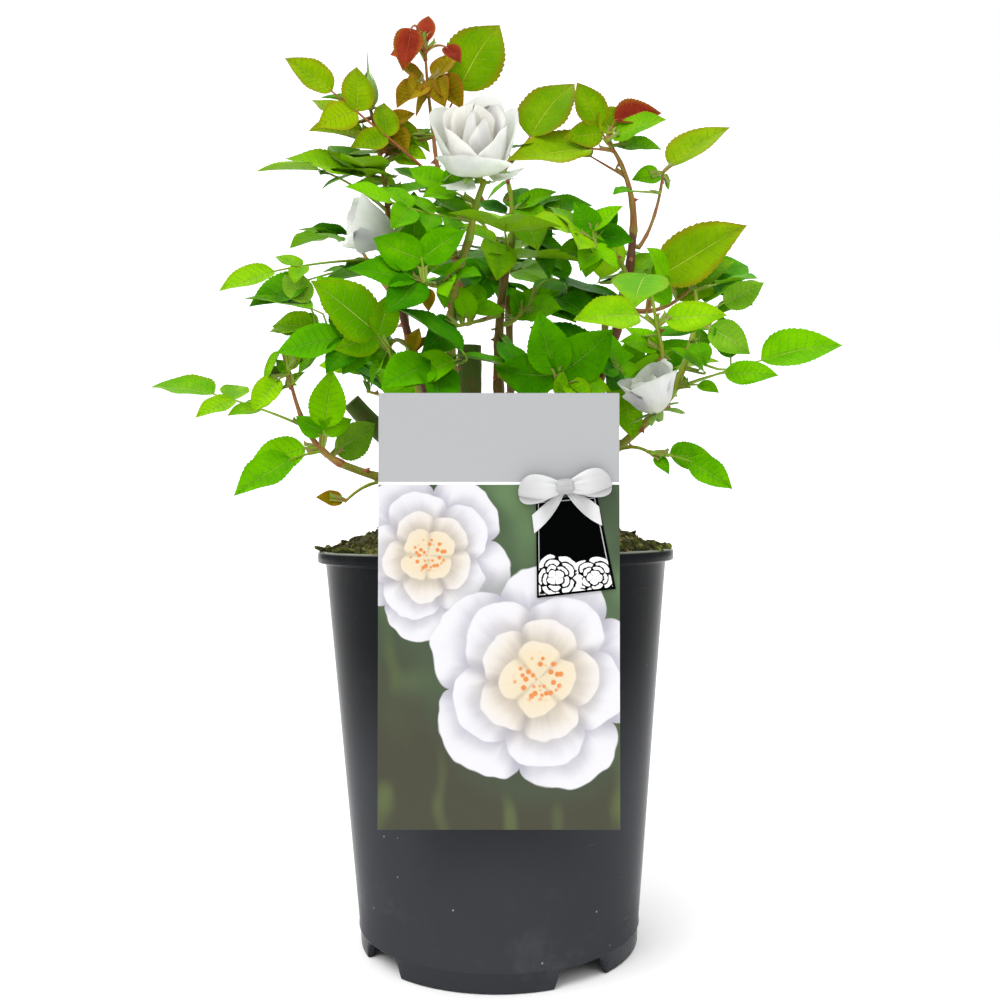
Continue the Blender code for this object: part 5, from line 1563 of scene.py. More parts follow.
def petal(base, axis, radius, length, profile, turn, spread, ruffle, lean, rng):
    """Grid of points of one petal round an axis; a sepal where the lean is None."""
    first, second = flower_frame(axis)
    phase = rng.uniform(0.0, math.tau)
    seat = Vector((rng.uniform(0.0, 9.0), rng.uniform(0.0, 9.0), 0.0))
    grid = []
    for r in range(PETAL_ROWS):
        t = r / (PETAL_ROWS - 1)
        row = []
        for c in range(PETAL_COLUMNS + 1):
            s = 2.0 * c / PETAL_COLUMNS - 1.0
            if lean is None:
                reach = t
                wide = math.sin(math.pi * min(1.0, 0.12 + 0.88 * t)) ** 0.8
            else:
                peak = 0.025 * math.exp(-(4.0 * s) ** 2)
                reach = t * (0.97 - 0.21 * abs(s) ** 3.2 + lean * s + peak)
                wide = 0.18 + 0.82 * math.sin(0.5 * math.pi * min(1.0, 1.30 * t)) ** 0.9
            q = bezier(profile, reach)
            angle = turn + s * spread * wide
            crumple = noise.noise(Vector((2.4 * s, 2.0 * t, 0.0)) + seat) * t
            crumple += 0.5 * noise.noise(Vector((5.5 * s, 3.6 * t, 4.0)) + seat) * t
            curl = max(0.0, t - 0.72) ** 2 * (0.5 + abs(s))
            out = q[0] * radius * (1.0 + 0.05 * s)
            out += radius * ruffle * (math.sin(2.6 * math.pi * s + phase) * t ** 4 + 1.6 * crumple)
            if lean is not None:
                out += 1.3 * curl * radius * q[0]
            rise = q[1] * length + 0.4 * ruffle * radius * math.cos(3.4 * s + phase) * t ** 3
            across = first * math.cos(angle) + second * math.sin(angle)
            row.append(base + axis * rise + across * out)
        grid.append(row)
    return grid


def bloom_petals(soup, base, axis, length, mouth, turn, rows, rng, thickness):
    """Petals of a bloom, from its heart outwards."""
    radius = 0.5 * mouth
    for number, (bearing, spread, profile, ruffle, lean) in enumerate(rows):
        grid = petal(base, axis, radius, length, profile, math.radians(bearing + turn),
                     math.radians(spread), ruffle, lean, rng)
        # the heart's petals map to the left half
        side = 0.01 if number < len(rows) // 2 else 0.51
        soup.add(*shell(grid, thickness, lambda v, u: (side + 0.48 * u, 0.02 + 0.96 * v)))


def stood(points, base, axis):
    """Points of a body round +Z, stood on a base along an axis."""
    turn = Matrix((*flower_frame(axis), axis)).transposed()
    return [base + turn @ p for p in points]


def calyx(soup, base, axis, radius, rng):
    """Hip and five sepals under a bloom."""
    profile = ((0.0, -5.0), (1.7, -4.6), (2.5, -2.6), (3.0, -0.6), (2.7, 0.6), (0.0, 1.2))
    points, faces = turned_body([(r * MM, z * MM) for r, z in profile], 12)
    soup.add(stood(points, base, axis), faces)
    for k in range(5):
        bearing = math.radians(72.0 * k + 36.0 + rng.uniform(-8.0, 8.0))
        low = rng.uniform(-0.35, 0.05)
        shape = ((0.12, -0.02), (0.45, 0.10), (0.75, 0.02), (1.05, low))
        grid = petal(base, axis, radius, radius, shape, bearing, math.radians(15.0), 0.03,
                     None, rng)
        soup.add(*shell(grid, 0.35 * MM)[:2])


def bud_body(soup, base, axis, length, tip_length, rng):
    """Closed bud in its sepals, which run out into one thin tip."""
    shares = ((0.0, -0.10), (0.12, -0.08), (0.17, 0.02), (0.28, 0.28), (0.29, 0.48),
              (0.22, 0.72), (0.10, 0.95), (0.045, 1.15), (0.03, 1.45),
              (0.0, 1.0 + tip_length / length))
    points, faces = turned_body([(r * length, z * length) for r, z in shares], 15)
    for p in points:
        angle = math.atan2(p.y, p.x)
        ridge = 1.0 + 0.07 * math.cos(5.0 * angle)
        p.x *= ridge
        p.y *= ridge
    soup.add(stood(points, base, axis), faces)
    shape = ((0.10, 0.02), (0.42, 0.20), (0.36, 0.70), (0.03, 1.25))
    for k in range(5):
        grid = petal(base, axis, length, length, shape, math.radians(72.0 * k), math.radians(44.0),
                     0.0, None, rng)
        soup.add(*shell(grid, 0.3 * MM)[:2])


# axis, turn and petals of each row of BLOOMS
BLOOM_FORMS = (((-0.06, -0.52, 0.85), 0, OPEN_PETALS), ((-0.92, -0.26, 0.30), 186, HALF_PETALS),
               ((-0.36, -0.34, 0.87), 0, HALF_PETALS))


# ---------------------------------------------------------------- pot and soil

def wall_radius(height):
    """Outside radius of the pot wall at a height."""
    rise = (POT_HEIGHT - POT_LIP_HEIGHT)
    return POT_FOOT_RADIUS + (POT_TOP_RADIUS - POT_FOOT_RADIUS) * min(1.0, height / rise)


def notch_lift(angle):
    """Height of the foot's edge at an angle, raised in the drain notches."""
    half = math.radians(0.5 * NOTCH_ANGLE)
    for bearing in NOTCH_BEARINGS:
        off = abs((angle - math.radians(bearing) + math.pi) % math.tau - math.pi) / half
        for (a0, h0), (a1, h1) in zip(NOTCH_EDGE, NOTCH_EDGE[1:]):
            if a0 <= off <= a1:
                return NOTCH_HEIGHT * (h0 + (h1 - h0) * (off - a0) / (a1 - a0))
    return 0.0


# share of a notch's half width, share of its height
NOTCH_EDGE = ((0.0, 1.0), (0.62, 1.0), (0.80, 0.75), (0.953, 0.0))


def pot_profile():
    """Radius and height of the pot's skin, from under the floor round to its top."""
    under_lip = POT_HEIGHT - POT_LIP_HEIGHT
    floor_top = POT_FLOOR_RISE + POT_FLOOR_THICKNESS
    foot, ridge = POT_FOOT_RADIUS, wall_radius(RIDGE_HEIGHT)
    inner = POT_TOP_RADIUS - POT_WALL
    rows = [(0.0, POT_FLOOR_RISE), (0.5 * foot, POT_FLOOR_RISE),
            (wall_radius(POT_FLOOR_RISE) - POT_FOOT_WIDTH, POT_FLOOR_RISE),
            (foot - POT_FOOT_WIDTH, 0.0003), (foot - POT_FOOT_WIDTH + 0.0003, 0.0),
            (foot - 0.0005, 0.0), (foot - 0.0001, 0.0002), (foot + 0.0001, 0.0006)]
    rows += [(ridge - 0.0003, RIDGE_HEIGHT - 0.0009), (ridge + 0.0003, RIDGE_HEIGHT - 0.0003),
             (ridge + 0.0003, RIDGE_HEIGHT + 0.0003), (ridge, RIDGE_HEIGHT + 0.0009)]
    rows += [(wall_radius(z), z) for z in (0.03, 0.06, 0.10, 0.14, 0.17, 0.185)]
    rows += [(POT_TOP_RADIUS, under_lip - 0.0010), (POT_TOP_RADIUS + 0.0004, under_lip - 0.0002),
             (POT_TOP_RADIUS + 0.0014, under_lip)]
    rows += [(POT_RIM_RADIUS - 0.0008, under_lip + 0.0001),
             (POT_RIM_RADIUS - 0.0001, under_lip + 0.0006),
             (POT_RIM_RADIUS, under_lip + 0.0012), (POT_RIM_RADIUS, POT_HEIGHT - 0.0014),
             (POT_RIM_RADIUS - 0.0003, POT_HEIGHT - 0.0005), (POT_RIM_RADIUS - 0.0010, POT_HEIGHT),
             (POT_RIM_RADIUS - POT_LIP_WIDTH + 0.0004, POT_HEIGHT),
             (POT_RIM_RADIUS - POT_LIP_WIDTH, POT_HEIGHT - 0.0004)]
    rows += [(inner + 0.0004, under_lip + 0.0006), (inner, under_lip - 0.0010)]
    rows += [(wall_radius(z) - POT_WALL, z) for z in (0.15, 0.10, 0.05)]
    rows += [(wall_radius(floor_top) - POT_WALL - 0.0008, floor_top), (0.5 * foot, floor_top),
             (0.0, floor_top)]
    return rows


FOOT_ROWS = (3, 4, 5, 6, 7)       # rows of the pot's profile that a notch lifts


def pot_finish(colour, roughness):
    """Black moulded plastic: faint flow lines, dust, scuffs, a pale lip edge (wear and painted
    highlight) and a painted floor reflection low down.
    """
    g = new_finish("pot_plastic", colour, roughness, Specular_IOR_Level=0.05, IOR=1.32)
    here = g.place()
    spot = g.split(here)
    flow = g.noise(g.vector("MULTIPLY", here, (60.0, 60.0, 9.0)), 1.0, 4.0)
    dust = g.noise(here, 38.0, 5.0, 0.7)
    grain = g.noise(here, 900.0, 2.0)
    low = g.step(spot[2], 0.06, 0.0)
    dusty = g.step(dust, 0.50, 0.78) * (0.35 + low)
    marks = g.noise(g.vector("MULTIPLY", here, (14.0, 14.0, 260.0)), 1.0, 3.0, 0.8)
    scuff = g.step(marks, 0.66, 0.74) * g.step(dust, 0.45, 0.60)
    # pale top edge of the lip: partly wear, partly a painted highlight where light catches the lip
    wear_and_highlight = g.step(spot[2], POT_HEIGHT - 0.0012, POT_HEIGHT - 0.0002)
    wear_and_highlight = wear_and_highlight * g.step(dust, 0.30, 0.55, 0.35, 1.0)
    tone = g.mix(g.step(flow, 0.35, 0.70, 0.0, 0.4), colour, tinted(colour, 1.4))
    # painted reflection of the pale floor: the wall is painted lighter towards its foot
    tone = g.mix(g.step(spot[2], 0.165, 0.075), tone, tinted(colour, 4.6))
    away, luck = g.cells(here, 150.0)
    speck = g.step(away, 0.085, 0.05) * (luck > 0.86)
    tone = g.mix(speck * 0.6, tone, srgb(176, 176, 170))
    tone = g.mix(dusty * 0.05, tone, srgb(150, 148, 142))
    tone = g.mix(scuff * 0.12, tone, srgb(170, 170, 170))
    tone = g.mix(wear_and_highlight * 0.6, tone, srgb(158, 164, 148))
    rough = roughness + (dusty + scuff) * 0.16
    height = grain * 0.5 + flow
    return g.paint(Base_Color=tone, Roughness=rough, Normal=g.bump(height, 0.00008, 0.5))


def tinted(colour, factor):
    """A colour made lighter or darker."""
    return (*(min(1.0, c * factor) for c in colour[:3]), 1.0)


def soil_height(x, y):
    """Level of the heaped compost."""
    edge = POT_TOP_RADIUS - POT_WALL - 0.0005
    share = min(1.0, math.hypot(x, y) / edge)
    level = SOIL_HEAP_EDGE + (SOIL_TOP_HEIGHT - SOIL_HEAP_EDGE) * (1.0 - share ** 3)
    lumps = noise.noise(Vector((x, y, 0.0)) * 60.0)
    lumps += 0.5 * noise.noise(Vector((x, y, 7.0)) * 170.0)
    return level + 0.0012 * lumps * min(1.0, 8.0 * (1.0 - share) + 0.25) - 0.0006


def soil_finish(name, dark, light, scale):
    """Moist compost: brown lumps, dark gaps and a few pale bits."""
    g = new_finish(name, dark, 0.92, Specular_IOR_Level=0.25)
    here = g.place()
    lumps = g.noise(here, scale, 5.0, 0.7)
    _, luck = g.cells(here, 380.0)
    colour = g.mix(g.step(lumps, 0.36, 0.68), dark, light)
    colour = g.mix(g.step(luck, 0.62, 0.70, 0.0, 0.6), colour, srgb(58, 36, 22))
    colour = g.mix(g.step(luck, 0.84, 0.95, 0.0, 0.6), colour, srgb(128, 142, 46))
    colour = g.mix(g.step(luck, 0.965, 0.98, 0.0, 0.7), colour, srgb(176, 128, 96))
    return g.paint(Base_Color=colour, Normal=g.bump(lumps, 0.0008, 0.8))


def crumb_shape(name, rng, stretch):
    """Rough crumb about one unit across, a few of them drawn out into fibres."""
    bm = bmesh.new()
    bmesh.ops.create_icosphere(bm, subdivisions=1, radius=0.5)
    for v in bm.verts:
        v.co *= rng.uniform(0.72, 1.18)
        v.co.x *= stretch
        v.co.z *= rng.uniform(0.7, 1.0)
    mesh = bpy.data.meshes.new(name)
    bm.to_mesh(mesh)
    bm.free()
    return shade(mesh, False)


# ---------------------------------------------------------------- label, tag and bow

def rosette_group():
    """Shader group of a plain open blossom seen from above.

    Gives its mask, its shading, the warmth round its heart and its stamens.
    """
    tree = bpy.data.node_groups.new("rosette", "ShaderNodeTree")
    add_sockets(tree, "INPUT", (("Place", "Vector", None), ("Centre", "Vector", None),
                                ("Radius", "Float", None), ("Turn", "Float", None)))
    results = ("Mask", "Shade", "Warm", "Heart")
    add_sockets(tree, "OUTPUT", [(title, "Float", None) for title in results])
    g = Graph(tree)
    given = g.given()
    away = g.vector("SUBTRACT", given["Place"], given["Centre"])
    away = g.scaled(away, 1.0 / given["Radius"])
    part = g.split(away)
    reach = g.length(away) + (g.noise(away, 2.3, 2.0) - 0.5) * 0.20
    angle = g.math("ARCTAN2", part[1], part[0]) + given["Turn"]
    streaks = g.noise(g.join(angle * 5.0, reach * 1.6), 1.0, 3.0)
    for ring, (size, lobes, phase) in enumerate((
            (1.00, 2.5, 0.0), (0.76, 2.5, 0.75), (0.54, 2.5, 0.2), (0.33, 2.0, 0.9))):
        lobe = abs(g.math("COSINE", angle * lobes + phase))
        gap = reach - (0.76 + lobe ** 0.6 * 0.24) * size
        inside = g.step(gap, 0.010, -0.010)
        own = g.step(lobe, 0.0, 0.5, 0.78, 0.97) * g.step(gap, -0.35, -0.02, 0.95, 1.03)
        if ring == 0:
            mask, shade = inside, own
            continue
        shade = shade * g.step(gap, 0.22, 0.0, 1.0, 0.78)
        shade = g.get("ShaderNodeMix", {0: inside, 2: shade, 3: own}, data_type="FLOAT")
    shade = shade * g.step(streaks, 0.35, 0.70, 1.0, 0.94)
    dot, _ = g.cells(away, 17.0)
    dots = g.step(dot, 0.50, 0.30) * g.step(reach, 0.24, 0.18)
    warm = g.step(reach, 0.70, 0.12)
    g.add("NodeGroupOutput", {"Mask": mask, "Shade": shade, "Warm": warm, "Heart": dots})
    return tree


def blossom(g, rosette, place, row):
    """Mask, shading, warmth and stamens of a blossom, for its centre, radius and turn."""
    x, y, radius, turn = row
    inputs = {"Place": place, "Centre": (x, y, 0.0), "Radius": radius, "Turn": turn}
    return [Value(g, part) for part in g.add("ShaderNodeGroup", inputs, node_tree=rosette).outputs]


# centre from the middle of the card or tag, radius, turn; in millimetres and radians
CARD_BLOSSOMS = ((-31.0, 24.0, 37.0, 0.4), (17.0, -30.0, 50.0, 1.15))
TAG_BLOSSOMS = ((8.2, -15.0, 9.4, 1.4), (-6.8, -13.0, 10.4, 0.5))
TAG_PRINT = (31.0, 42.0)          # width and height of the tag's print
CARD_HEADER = 0.208               # share of the card's height


def card_finish(header, ground, rosette):
    """Printed card: bare header, white rule, blurred green ground and two pale blossoms."""
    g = new_finish("card_print", header, 0.34, Specular_IOR_Level=0.5)
    uv = g.split(g.tile())
    x = (uv[0] - 0.5) * (CARD_WIDTH / MM)
    y = (uv[1] - 0.5) * (CARD_HEIGHT / MM)
    place = g.join(x, y)
    soft = g.noise(place, 0.028, 1.0, 0.4)
    low = g.step(uv[1] + soft * 0.3, 0.66, 0.34)
    colour = g.mix(g.step(soft, 0.36, 0.64), tinted(ground, 0.30), tinted(ground, 0.85))
    colour = g.mix(low, colour, srgb(46, 46, 20))
    blur = g.noise(g.vector("MULTIPLY", place, (0.05, 0.022, 1.0)), 1.0, 1.0)
    colour = g.mix(g.step(blur, 0.52, 0.66, 0.0, 0.6), colour, srgb(84, 100, 44))
    for row in CARD_BLOSSOMS:
        mask, shade, warm, heart = blossom(g, rosette, place, row)
        petals = g.mix(g.step(shade, 0.50, 1.0), srgb(150, 148, 160), srgb(211, 210, 214))
        petals = g.mix(warm, petals, g.mix(1.0, petals, srgb(255, 238, 196), "MULTIPLY"))
        petals = g.mix(heart, petals, srgb(206, 122, 52))
        cx, cy, radius, _ = row
        away = g.length(g.vector("SUBTRACT", place, (cx + 2.0, cy - 3.0, 0.0)))
        shadow = g.step(away, radius * 1.14, radius * 0.90, 0.0, 0.6)
        colour = g.mix(shadow, colour, tinted(ground, 0.25))
        colour = g.mix(mask, colour, petals)
    top = 1.0 - CARD_HEADER
    rule = 0.55 * MM / CARD_HEIGHT
    colour = g.mix(uv[1] > top - rule, colour, srgb(246, 246, 246))
    colour = g.mix(uv[1] > top + rule, colour, header)
    return g.paint(Base_Color=colour, Normal=g.bump(g.noise(place, 1.4, 2.0), 0.00002, 0.4))


def tag_finish(colour, rosette):
    """Black card with a thin pale frame and two plain blossoms."""
    g = new_finish("tag_print", colour, 0.5, Specular_IOR_Level=0.0, IOR=1.3)
    uv = g.split(g.tile())
    width, height = TAG_PRINT
    x = (uv[0] - 0.5) * width
    y = (uv[1] - 0.5) * height
    inset = g.math("MINIMUM", 0.5 * width - abs(x), 0.5 * height - abs(y))
    shown = g.mix(g.math("COMPARE", inset, 1.25, 0.20), colour, srgb(170, 170, 172))
    inner = inset > 1.05
    for row in TAG_BLOSSOMS:
        mask, shade, _, _ = blossom(g, rosette, g.join(x, y), row)
        petals = g.mix(g.step(shade, 0.76, 0.83), colour, srgb(240, 240, 240))
        shown = g.mix(inner * mask, shown, petals)
    return g.paint(Base_Color=shown)


def card_body(outline, front, thickness, bevel):
    """Thin card with softened edges and its map laid over its outline.

    The outline runs from the lower left corner, anticlockwise; its map is 0 to 1.
    """
    bm = bmesh.new()
    low = [bm.verts.new((x, front, z)) for x, z in outline]
    high = [bm.verts.new((x, front + thickness, z)) for x, z in outline]
    bm.faces.new(low)
    bm.faces.new(high[::-1])
    for k in range(4):
        j = (k + 1) % 4
        bm.faces.new((low[j], low[k], high[k], high[j]))
    bmesh.ops.bevel(bm, geom=bm.edges[:], offset=bevel, segments=2, profile=0.5, affect="EDGES")
    bmesh.ops.recalc_face_normals(bm, faces=bm.faces)
    layer = bm.loops.layers.uv.new(MAP_NAME)
    (x0, z0), (x1, z1), (x2, z2), (x3, z3) = outline
    for face in bm.faces:
        for loop in face.loops:
            x, z = loop.vert.co.x, loop.vert.co.z
            v = (z - z0) / (z3 - z0)
            for _ in range(3):
                left = x0 + (x3 - x0) * v
                right = x1 + (x2 - x1) * v
                u = (x - left) / (right - left)
                v = (z - (z0 + (z1 - z0) * u)) / ((z3 + (z2 - z3) * u) - (z0 + (z1 - z0) * u))
            if face.normal.y > 0.5:
                u, v = 0.5 + 0.01 * u, 0.97 + 0.01 * v
            loop[layer].uv = (min(1.0, max(0.0, u)), min(1.0, max(0.0, v)))
    mesh = bpy.data.meshes.new("card")
    bm.to_mesh(mesh)
    bm.free()
    return mesh


def rotated(outline, degrees, centre):
    """Outline in x and z turned about a centre."""
    c, s = math.cos(math.radians(degrees)), math.sin(math.radians(degrees))
    turned = []
    for x, z in outline:
        dx, dz = x - centre[0], z - centre[1]
        turned.append((centre[0] + dx * c + dz * s, centre[1] - dx * s + dz * c))
    return turned


# edges of the bow's bands from the knot outwards, as Bezier points in millimetres:
# upper and lower edge of a loop's front, upper and lower edge of its back
LOOP_EDGES = (((1.5, 2.2), (7.0, 5.5), (13.0, 8.6), (17.2, 5.6)),
              ((1.5, -2.2), (8.0, -6.0), (13.0, -4.0), (20.2, -1.8)),
              ((1.5, 1.8), (7.0, 4.5), (12.0, 7.4), (17.2, 5.6)),
              ((1.5, -2.0), (9.0, -6.4), (21.0, -8.5), (20.2, -1.8)))
TAIL_EDGES = ((((0.2, -1.5), (-4.0, -13.0), (-13.5, -20.1)),
               ((-1.8, -1.5), (-8.0, -6.5), (-14.4, -12.2))),
              (((1.8, -1.0), (9.0, -3.6), (14.8, -8.7)),
               ((-0.2, -1.5), (6.5, -13.0), (16.1, -17.0))))
BOW_TILT = 5.5
KNOT_PROFILE = ((0.0, -3.9), (2.4, -3.8), (3.2, -2.6), (3.3, 0.0), (3.2, 2.6), (2.4, 3.8),
                (0.0, 3.9))


def curve_point(points, t):
    """Point of the Bezier curve of any number of points."""
    points = [Vector(p) for p in points]
    while len(points) > 1:
        points = [a.lerp(b, t) for a, b in zip(points, points[1:])]
    return points[0]


def bow_point(x, z, depth, tilt=BOW_TILT):
    """Place of a point of the bow, given from its knot in millimetres."""
    c, s = math.cos(math.radians(tilt)), math.sin(math.radians(tilt))
    kx, kz = BOW_KNOT
    back = CARD_FRONT - 2.0 * GAP - TAG_THICKNESS
    right, rise = kx - 0.6 + x * c - z * s, kz - 0.6 + z * c + x * s
    return Vector((right * MM, back - depth * MM, rise * MM))


def ribbon_loop(sign):
    """Grid of one loop of the bow: out along the front, round and back behind."""
    grid = []
    rows = 30
    for r in range(rows + 1):
        angle = math.tau * r / rows
        reach = 0.5 - 0.5 * math.cos(angle)
        front = r <= rows // 2
        upper, lower = LOOP_EDGES[:2] if front else LOOP_EDGES[2:]
        upper, lower = curve_point(upper, reach), curve_point(lower, reach)
        swell = abs(math.sin(angle)) ** 0.8
        row = []
        for c in range(13):
            s = c / 6.0 - 1.0
            at = lower.lerp(upper, c / 12.0)
            fold = 0.45 * math.cos(3.0 * math.pi * s) * (1.0 - reach) ** 1.6
            depth = 1.7 + (2.6 * swell * (1.0 - 0.35 * s * s) if front else -1.2 * swell) + fold
            row.append(bow_point(sign * (at.x + 1.1 * reach ** 3 * (1.0 - s * s)), at.y, depth))
        grid.append(row)
    return grid


def ribbon_tail(edges):
    """Grid of one tail of the bow, cut straight across."""
    grid = []
    rows = 16
    for r in range(rows + 1):
        t = r / rows
        left, right = (curve_point(edge, t) for edge in edges)
        row = []
        for c in range(9):
            s = c / 4.0 - 1.0
            at = left.lerp(right, c / 8.0)
            depth = 0.75 + 0.25 * math.sin(5.0 * t + s) + 0.2 * math.cos(9.0 * s) * (1.0 - t)
            row.append(bow_point(at.x, at.y, depth, 0.0))
        grid.append(row)
    return grid


# ---------------------------------------------------------------- finishes of the plant

# dark, light, vein, margin, share of the margin, underside
TONES = {
    "bright": ((84, 152, 0), (142, 196, 4), (190, 216, 96), (118, 132, 8), 0.45, (120, 168, 10)),
    "mid": ((62, 136, 0), (114, 184, 0), (160, 200, 70), (70, 130, 0), 0.2, (100, 158, 8)),
    "deep": ((36, 108, 0), (80, 154, 0), (120, 172, 60), (30, 90, 0), 0.0, (76, 134, 6)),
    "edge": ((84, 132, 0), (138, 172, 4), (180, 200, 60), (142, 84, 20), 0.5, (126, 154, 8)),
    "olive": ((112, 96, 4), (160, 140, 16), (160, 90, 40), (160, 84, 30), 0.6, (160, 128, 60)),
    "red": ((108, 26, 16), (172, 66, 42), (196, 100, 70), (140, 120, 20), 0.4, (156, 76, 54)),
    "under": ((74, 140, 4), (128, 180, 40), (200, 222, 130), (110, 160, 20), 0.0, (150, 186, 70)),
}
# finish, base colour or the setting that gives it, flush, fleck, roughness, slot
BARKS = {
    "canes_green": ("bark_green", "green", (126, 124, 24), (152, 148, 60), 0.55, "green_bark"),
    "canes_brown": ("bark_brown", (104, 86, 14), (92, 60, 18), (130, 116, 44), 0.55, "red_bark"),
    "canes_red": ("bark_red", "red", (84, 46, 20), (140, 92, 48), 0.50, "red_bark"),
    "stubs": ("bark_old", "old", (62, 92, 8), (66, 52, 24), 0.80, "green_bark"),
    "twigs_green": ("twig_green", (116, 152, 10), (146, 140, 16), (162, 172, 60), 0.45,
                    "rose_leaf"),
    "twigs_flushed": ("twig_flushed", (134, 118, 34), (146, 74, 36), (170, 138, 74), 0.45,
                      "rose_leaf"),
    "stalks_green": ("stalk_green", (116, 168, 14), (138, 150, 20), (160, 186, 70), 0.45,
                     "rose_leaf"),
    "stalks_flushed": ("stalk_flushed", (156, 104, 40), (156, 62, 36), (160, 144, 60), 0.45,
                       "rose_leaf"),
}
FLUSHED_TONES = ("red", "edge", "olive")
RED_CANES = ("left_cane", "right_cane")
BROWN_CANES = ("centre_right_cane", "back_cane")
STUBS = ("left_stub", "centre_stub")
FLUSHED_SHOOTS = ("red_tip_shoot", "left_shoot", "right_shoot", "right_side_twig",
                  "right_mid_shoot", "low_left_shoot", "back_left_shoot")


def petal_finish(white, heart, foot, roughness):
    """Petal: cream at its foot, faint veins and bluish grey patches of painted shade; a warmer,
    cream heart painted paler to lift its shade.
    """
    g = new_finish("petal", white, roughness, Specular_IOR_Level=0.3,
                   Subsurface_Weight=0.8, Subsurface_Scale=0.004,
                   Subsurface_Radius=(1.0, 1.0, 0.85))
    uv = g.split(g.tile())
    veins = g.noise(g.join(uv[0] * 52.0, uv[1] * 2.2), 1.0, 3.0)
    soft = g.noise(g.join(uv[0] * 6.0, uv[1] * 2.0), 1.0, 2.0)
    patches = g.noise(g.place(), 70.0, 2.0)
    # painted shade: random patches of the outer petals are painted a bluish grey
    painted_shade_grey = (0.84 * white[0], 0.87 * white[1], 0.88 * white[2], 1.0)
    outer = g.mix(g.step(patches, 0.38, 0.66, 0.0, 0.8), white, painted_shade_grey)
    # painted light: the heart's petals are cream and painted paler, which lifts the shade inside
    # the cup
    colour = g.mix(g.step(uv[0], 0.501, 0.499), outer, heart)
    low = uv[1] + (soft - 0.5) * 0.2
    colour = g.mix(g.step(low, 0.80, 0.05, 0.0, 0.9), colour, foot)
    colour = g.mix(g.step(veins, 0.40, 0.75, 0.0, 0.35), colour, tinted(white, 0.93))
    folds = veins * 0.4 + soft
    return g.paint(Base_Color=colour, Normal=g.bump(folds, 0.0009, 0.7))


def plain_finish(name, colour, second, scale, roughness, relief):
    """Two close colours in soft patches, with a fine grain."""
    g = new_finish(name, colour, roughness, Specular_IOR_Level=0.4)
    here = g.place()
    patches = g.noise(here, scale, 4.0, 0.6)
    colour = g.mix(g.step(patches, 0.35, 0.68), colour, second)
    return g.paint(Base_Color=colour, Normal=g.bump(g.noise(here, 4.0 * scale, 3.0), relief, 0.6))


def ribbon_finish(colour):
    """White satin: a soft sheen, a painted sheen darker halfway along each band's map, faint folds
    along the ribbon and painted shade in the pinches by the knot.
    """
    g = new_finish("bow_satin", colour, 0.36, Specular_IOR_Level=0.3, Sheen_Weight=0.15)
    uv = g.split(g.tile())
    folds = g.noise(g.join(uv[0] * 7.0, uv[1] * 1.5), 1.0, 2.0)
    knot = tuple(c * MM for c in BOW_KNOT)
    away = g.vector("SUBTRACT", g.place(), (knot[0], CARD_FRONT, knot[1]))
    reach = g.length(away)
    near = g.step(reach, 0.012, 0.004)
    middle = abs(uv[1] - 0.5)
    # painted sheen: darker halfway along each band's map, lighter towards its ends
    sheen = g.mix(g.step(middle, 0.05, 0.40), tinted(colour, 0.80), tinted(colour, 1.12))
    # painted shade: darker folds in the pinches near the knot
    shown = g.mix(near * g.step(folds, 0.35, 0.65), sheen, tinted(colour, 0.62))
    return g.paint(Base_Color=shown, Normal=g.bump(folds, 0.0004, 0.6))


# ---------------------------------------------------------------- settings

COLOUR = {"size": 3, "min": 0.0, "max": 1.0}


class RosePotSettings(bpy.types.PropertyGroup):
    colour: FloatVectorProperty(
        name="Pot colour", description="Colour of the pot's plastic", subtype="COLOR",
        default=srgb(22, 23, 25)[:3], **COLOUR)
    roughness: FloatProperty(
        name="Pot roughness", description="How dull the plastic is",
        default=0.22, min=0.0, max=1.0)
    segments: IntProperty(
        name="Pot segments", description="Facets round the pot", default=216, min=48, max=400)


class RoseSoilSettings(bpy.types.PropertyGroup):
    dark: FloatVectorProperty(
        name="Dark soil", description="Colour of the damp compost", subtype="COLOR",
        default=srgb(30, 30, 9)[:3], **COLOUR)
    light: FloatVectorProperty(
        name="Light soil", description="Colour of the drier crumbs", subtype="COLOR",
        default=srgb(84, 88, 26)[:3], **COLOUR)
    spacing: FloatProperty(
        name="Crumb spacing", description="Least distance between crumbs", subtype="DISTANCE",
        unit="LENGTH", default=0.0019, min=0.001, max=0.01)
    largest: FloatProperty(
        name="Largest crumb", description="Size of the largest crumbs", subtype="DISTANCE",
        unit="LENGTH", default=0.0052, min=0.001, max=0.01)


class RoseStemSettings(bpy.types.PropertyGroup):
    sides: IntProperty(
        name="Stem sides", description="Facets round a stem", default=12, min=5, max=24)
    relief: FloatProperty(
        name="Bark relief", description="Height of the bark's lumps as a share of the stem",
        default=0.16, min=0.0, max=0.5)
    green: FloatVectorProperty(
        name="Green bark", description="Colour of the green canes", subtype="COLOR",
        default=srgb(112, 124, 18)[:3], **COLOUR)
    red: FloatVectorProperty(
        name="Red bark", description="Colour of the red canes", subtype="COLOR",
        default=srgb(92, 40, 18)[:3], **COLOUR)
    old: FloatVectorProperty(
        name="Old bark", description="Colour of the stem base and pruned stubs", subtype="COLOR",
        default=srgb(78, 82, 22)[:3], **COLOUR)


class RoseLeafSettings(bpy.types.PropertyGroup):
    size: FloatProperty(
        name="Leaflet size", description="Length of a leaflet against its solid",
        default=1.0, min=0.5, max=1.2)
    width: FloatProperty(
        name="Leaflet width", description="Width of a leaflet against its solid",
        default=1.0, min=0.5, max=1.2)
    roughness: FloatProperty(
        name="Leaf roughness", description="How dull the leaves are",
        default=0.42, min=0.0, max=1.0)
    seed: IntProperty(
        name="Leaf seed", description="Seed of the leaflets' shapes", default=5, min=0)


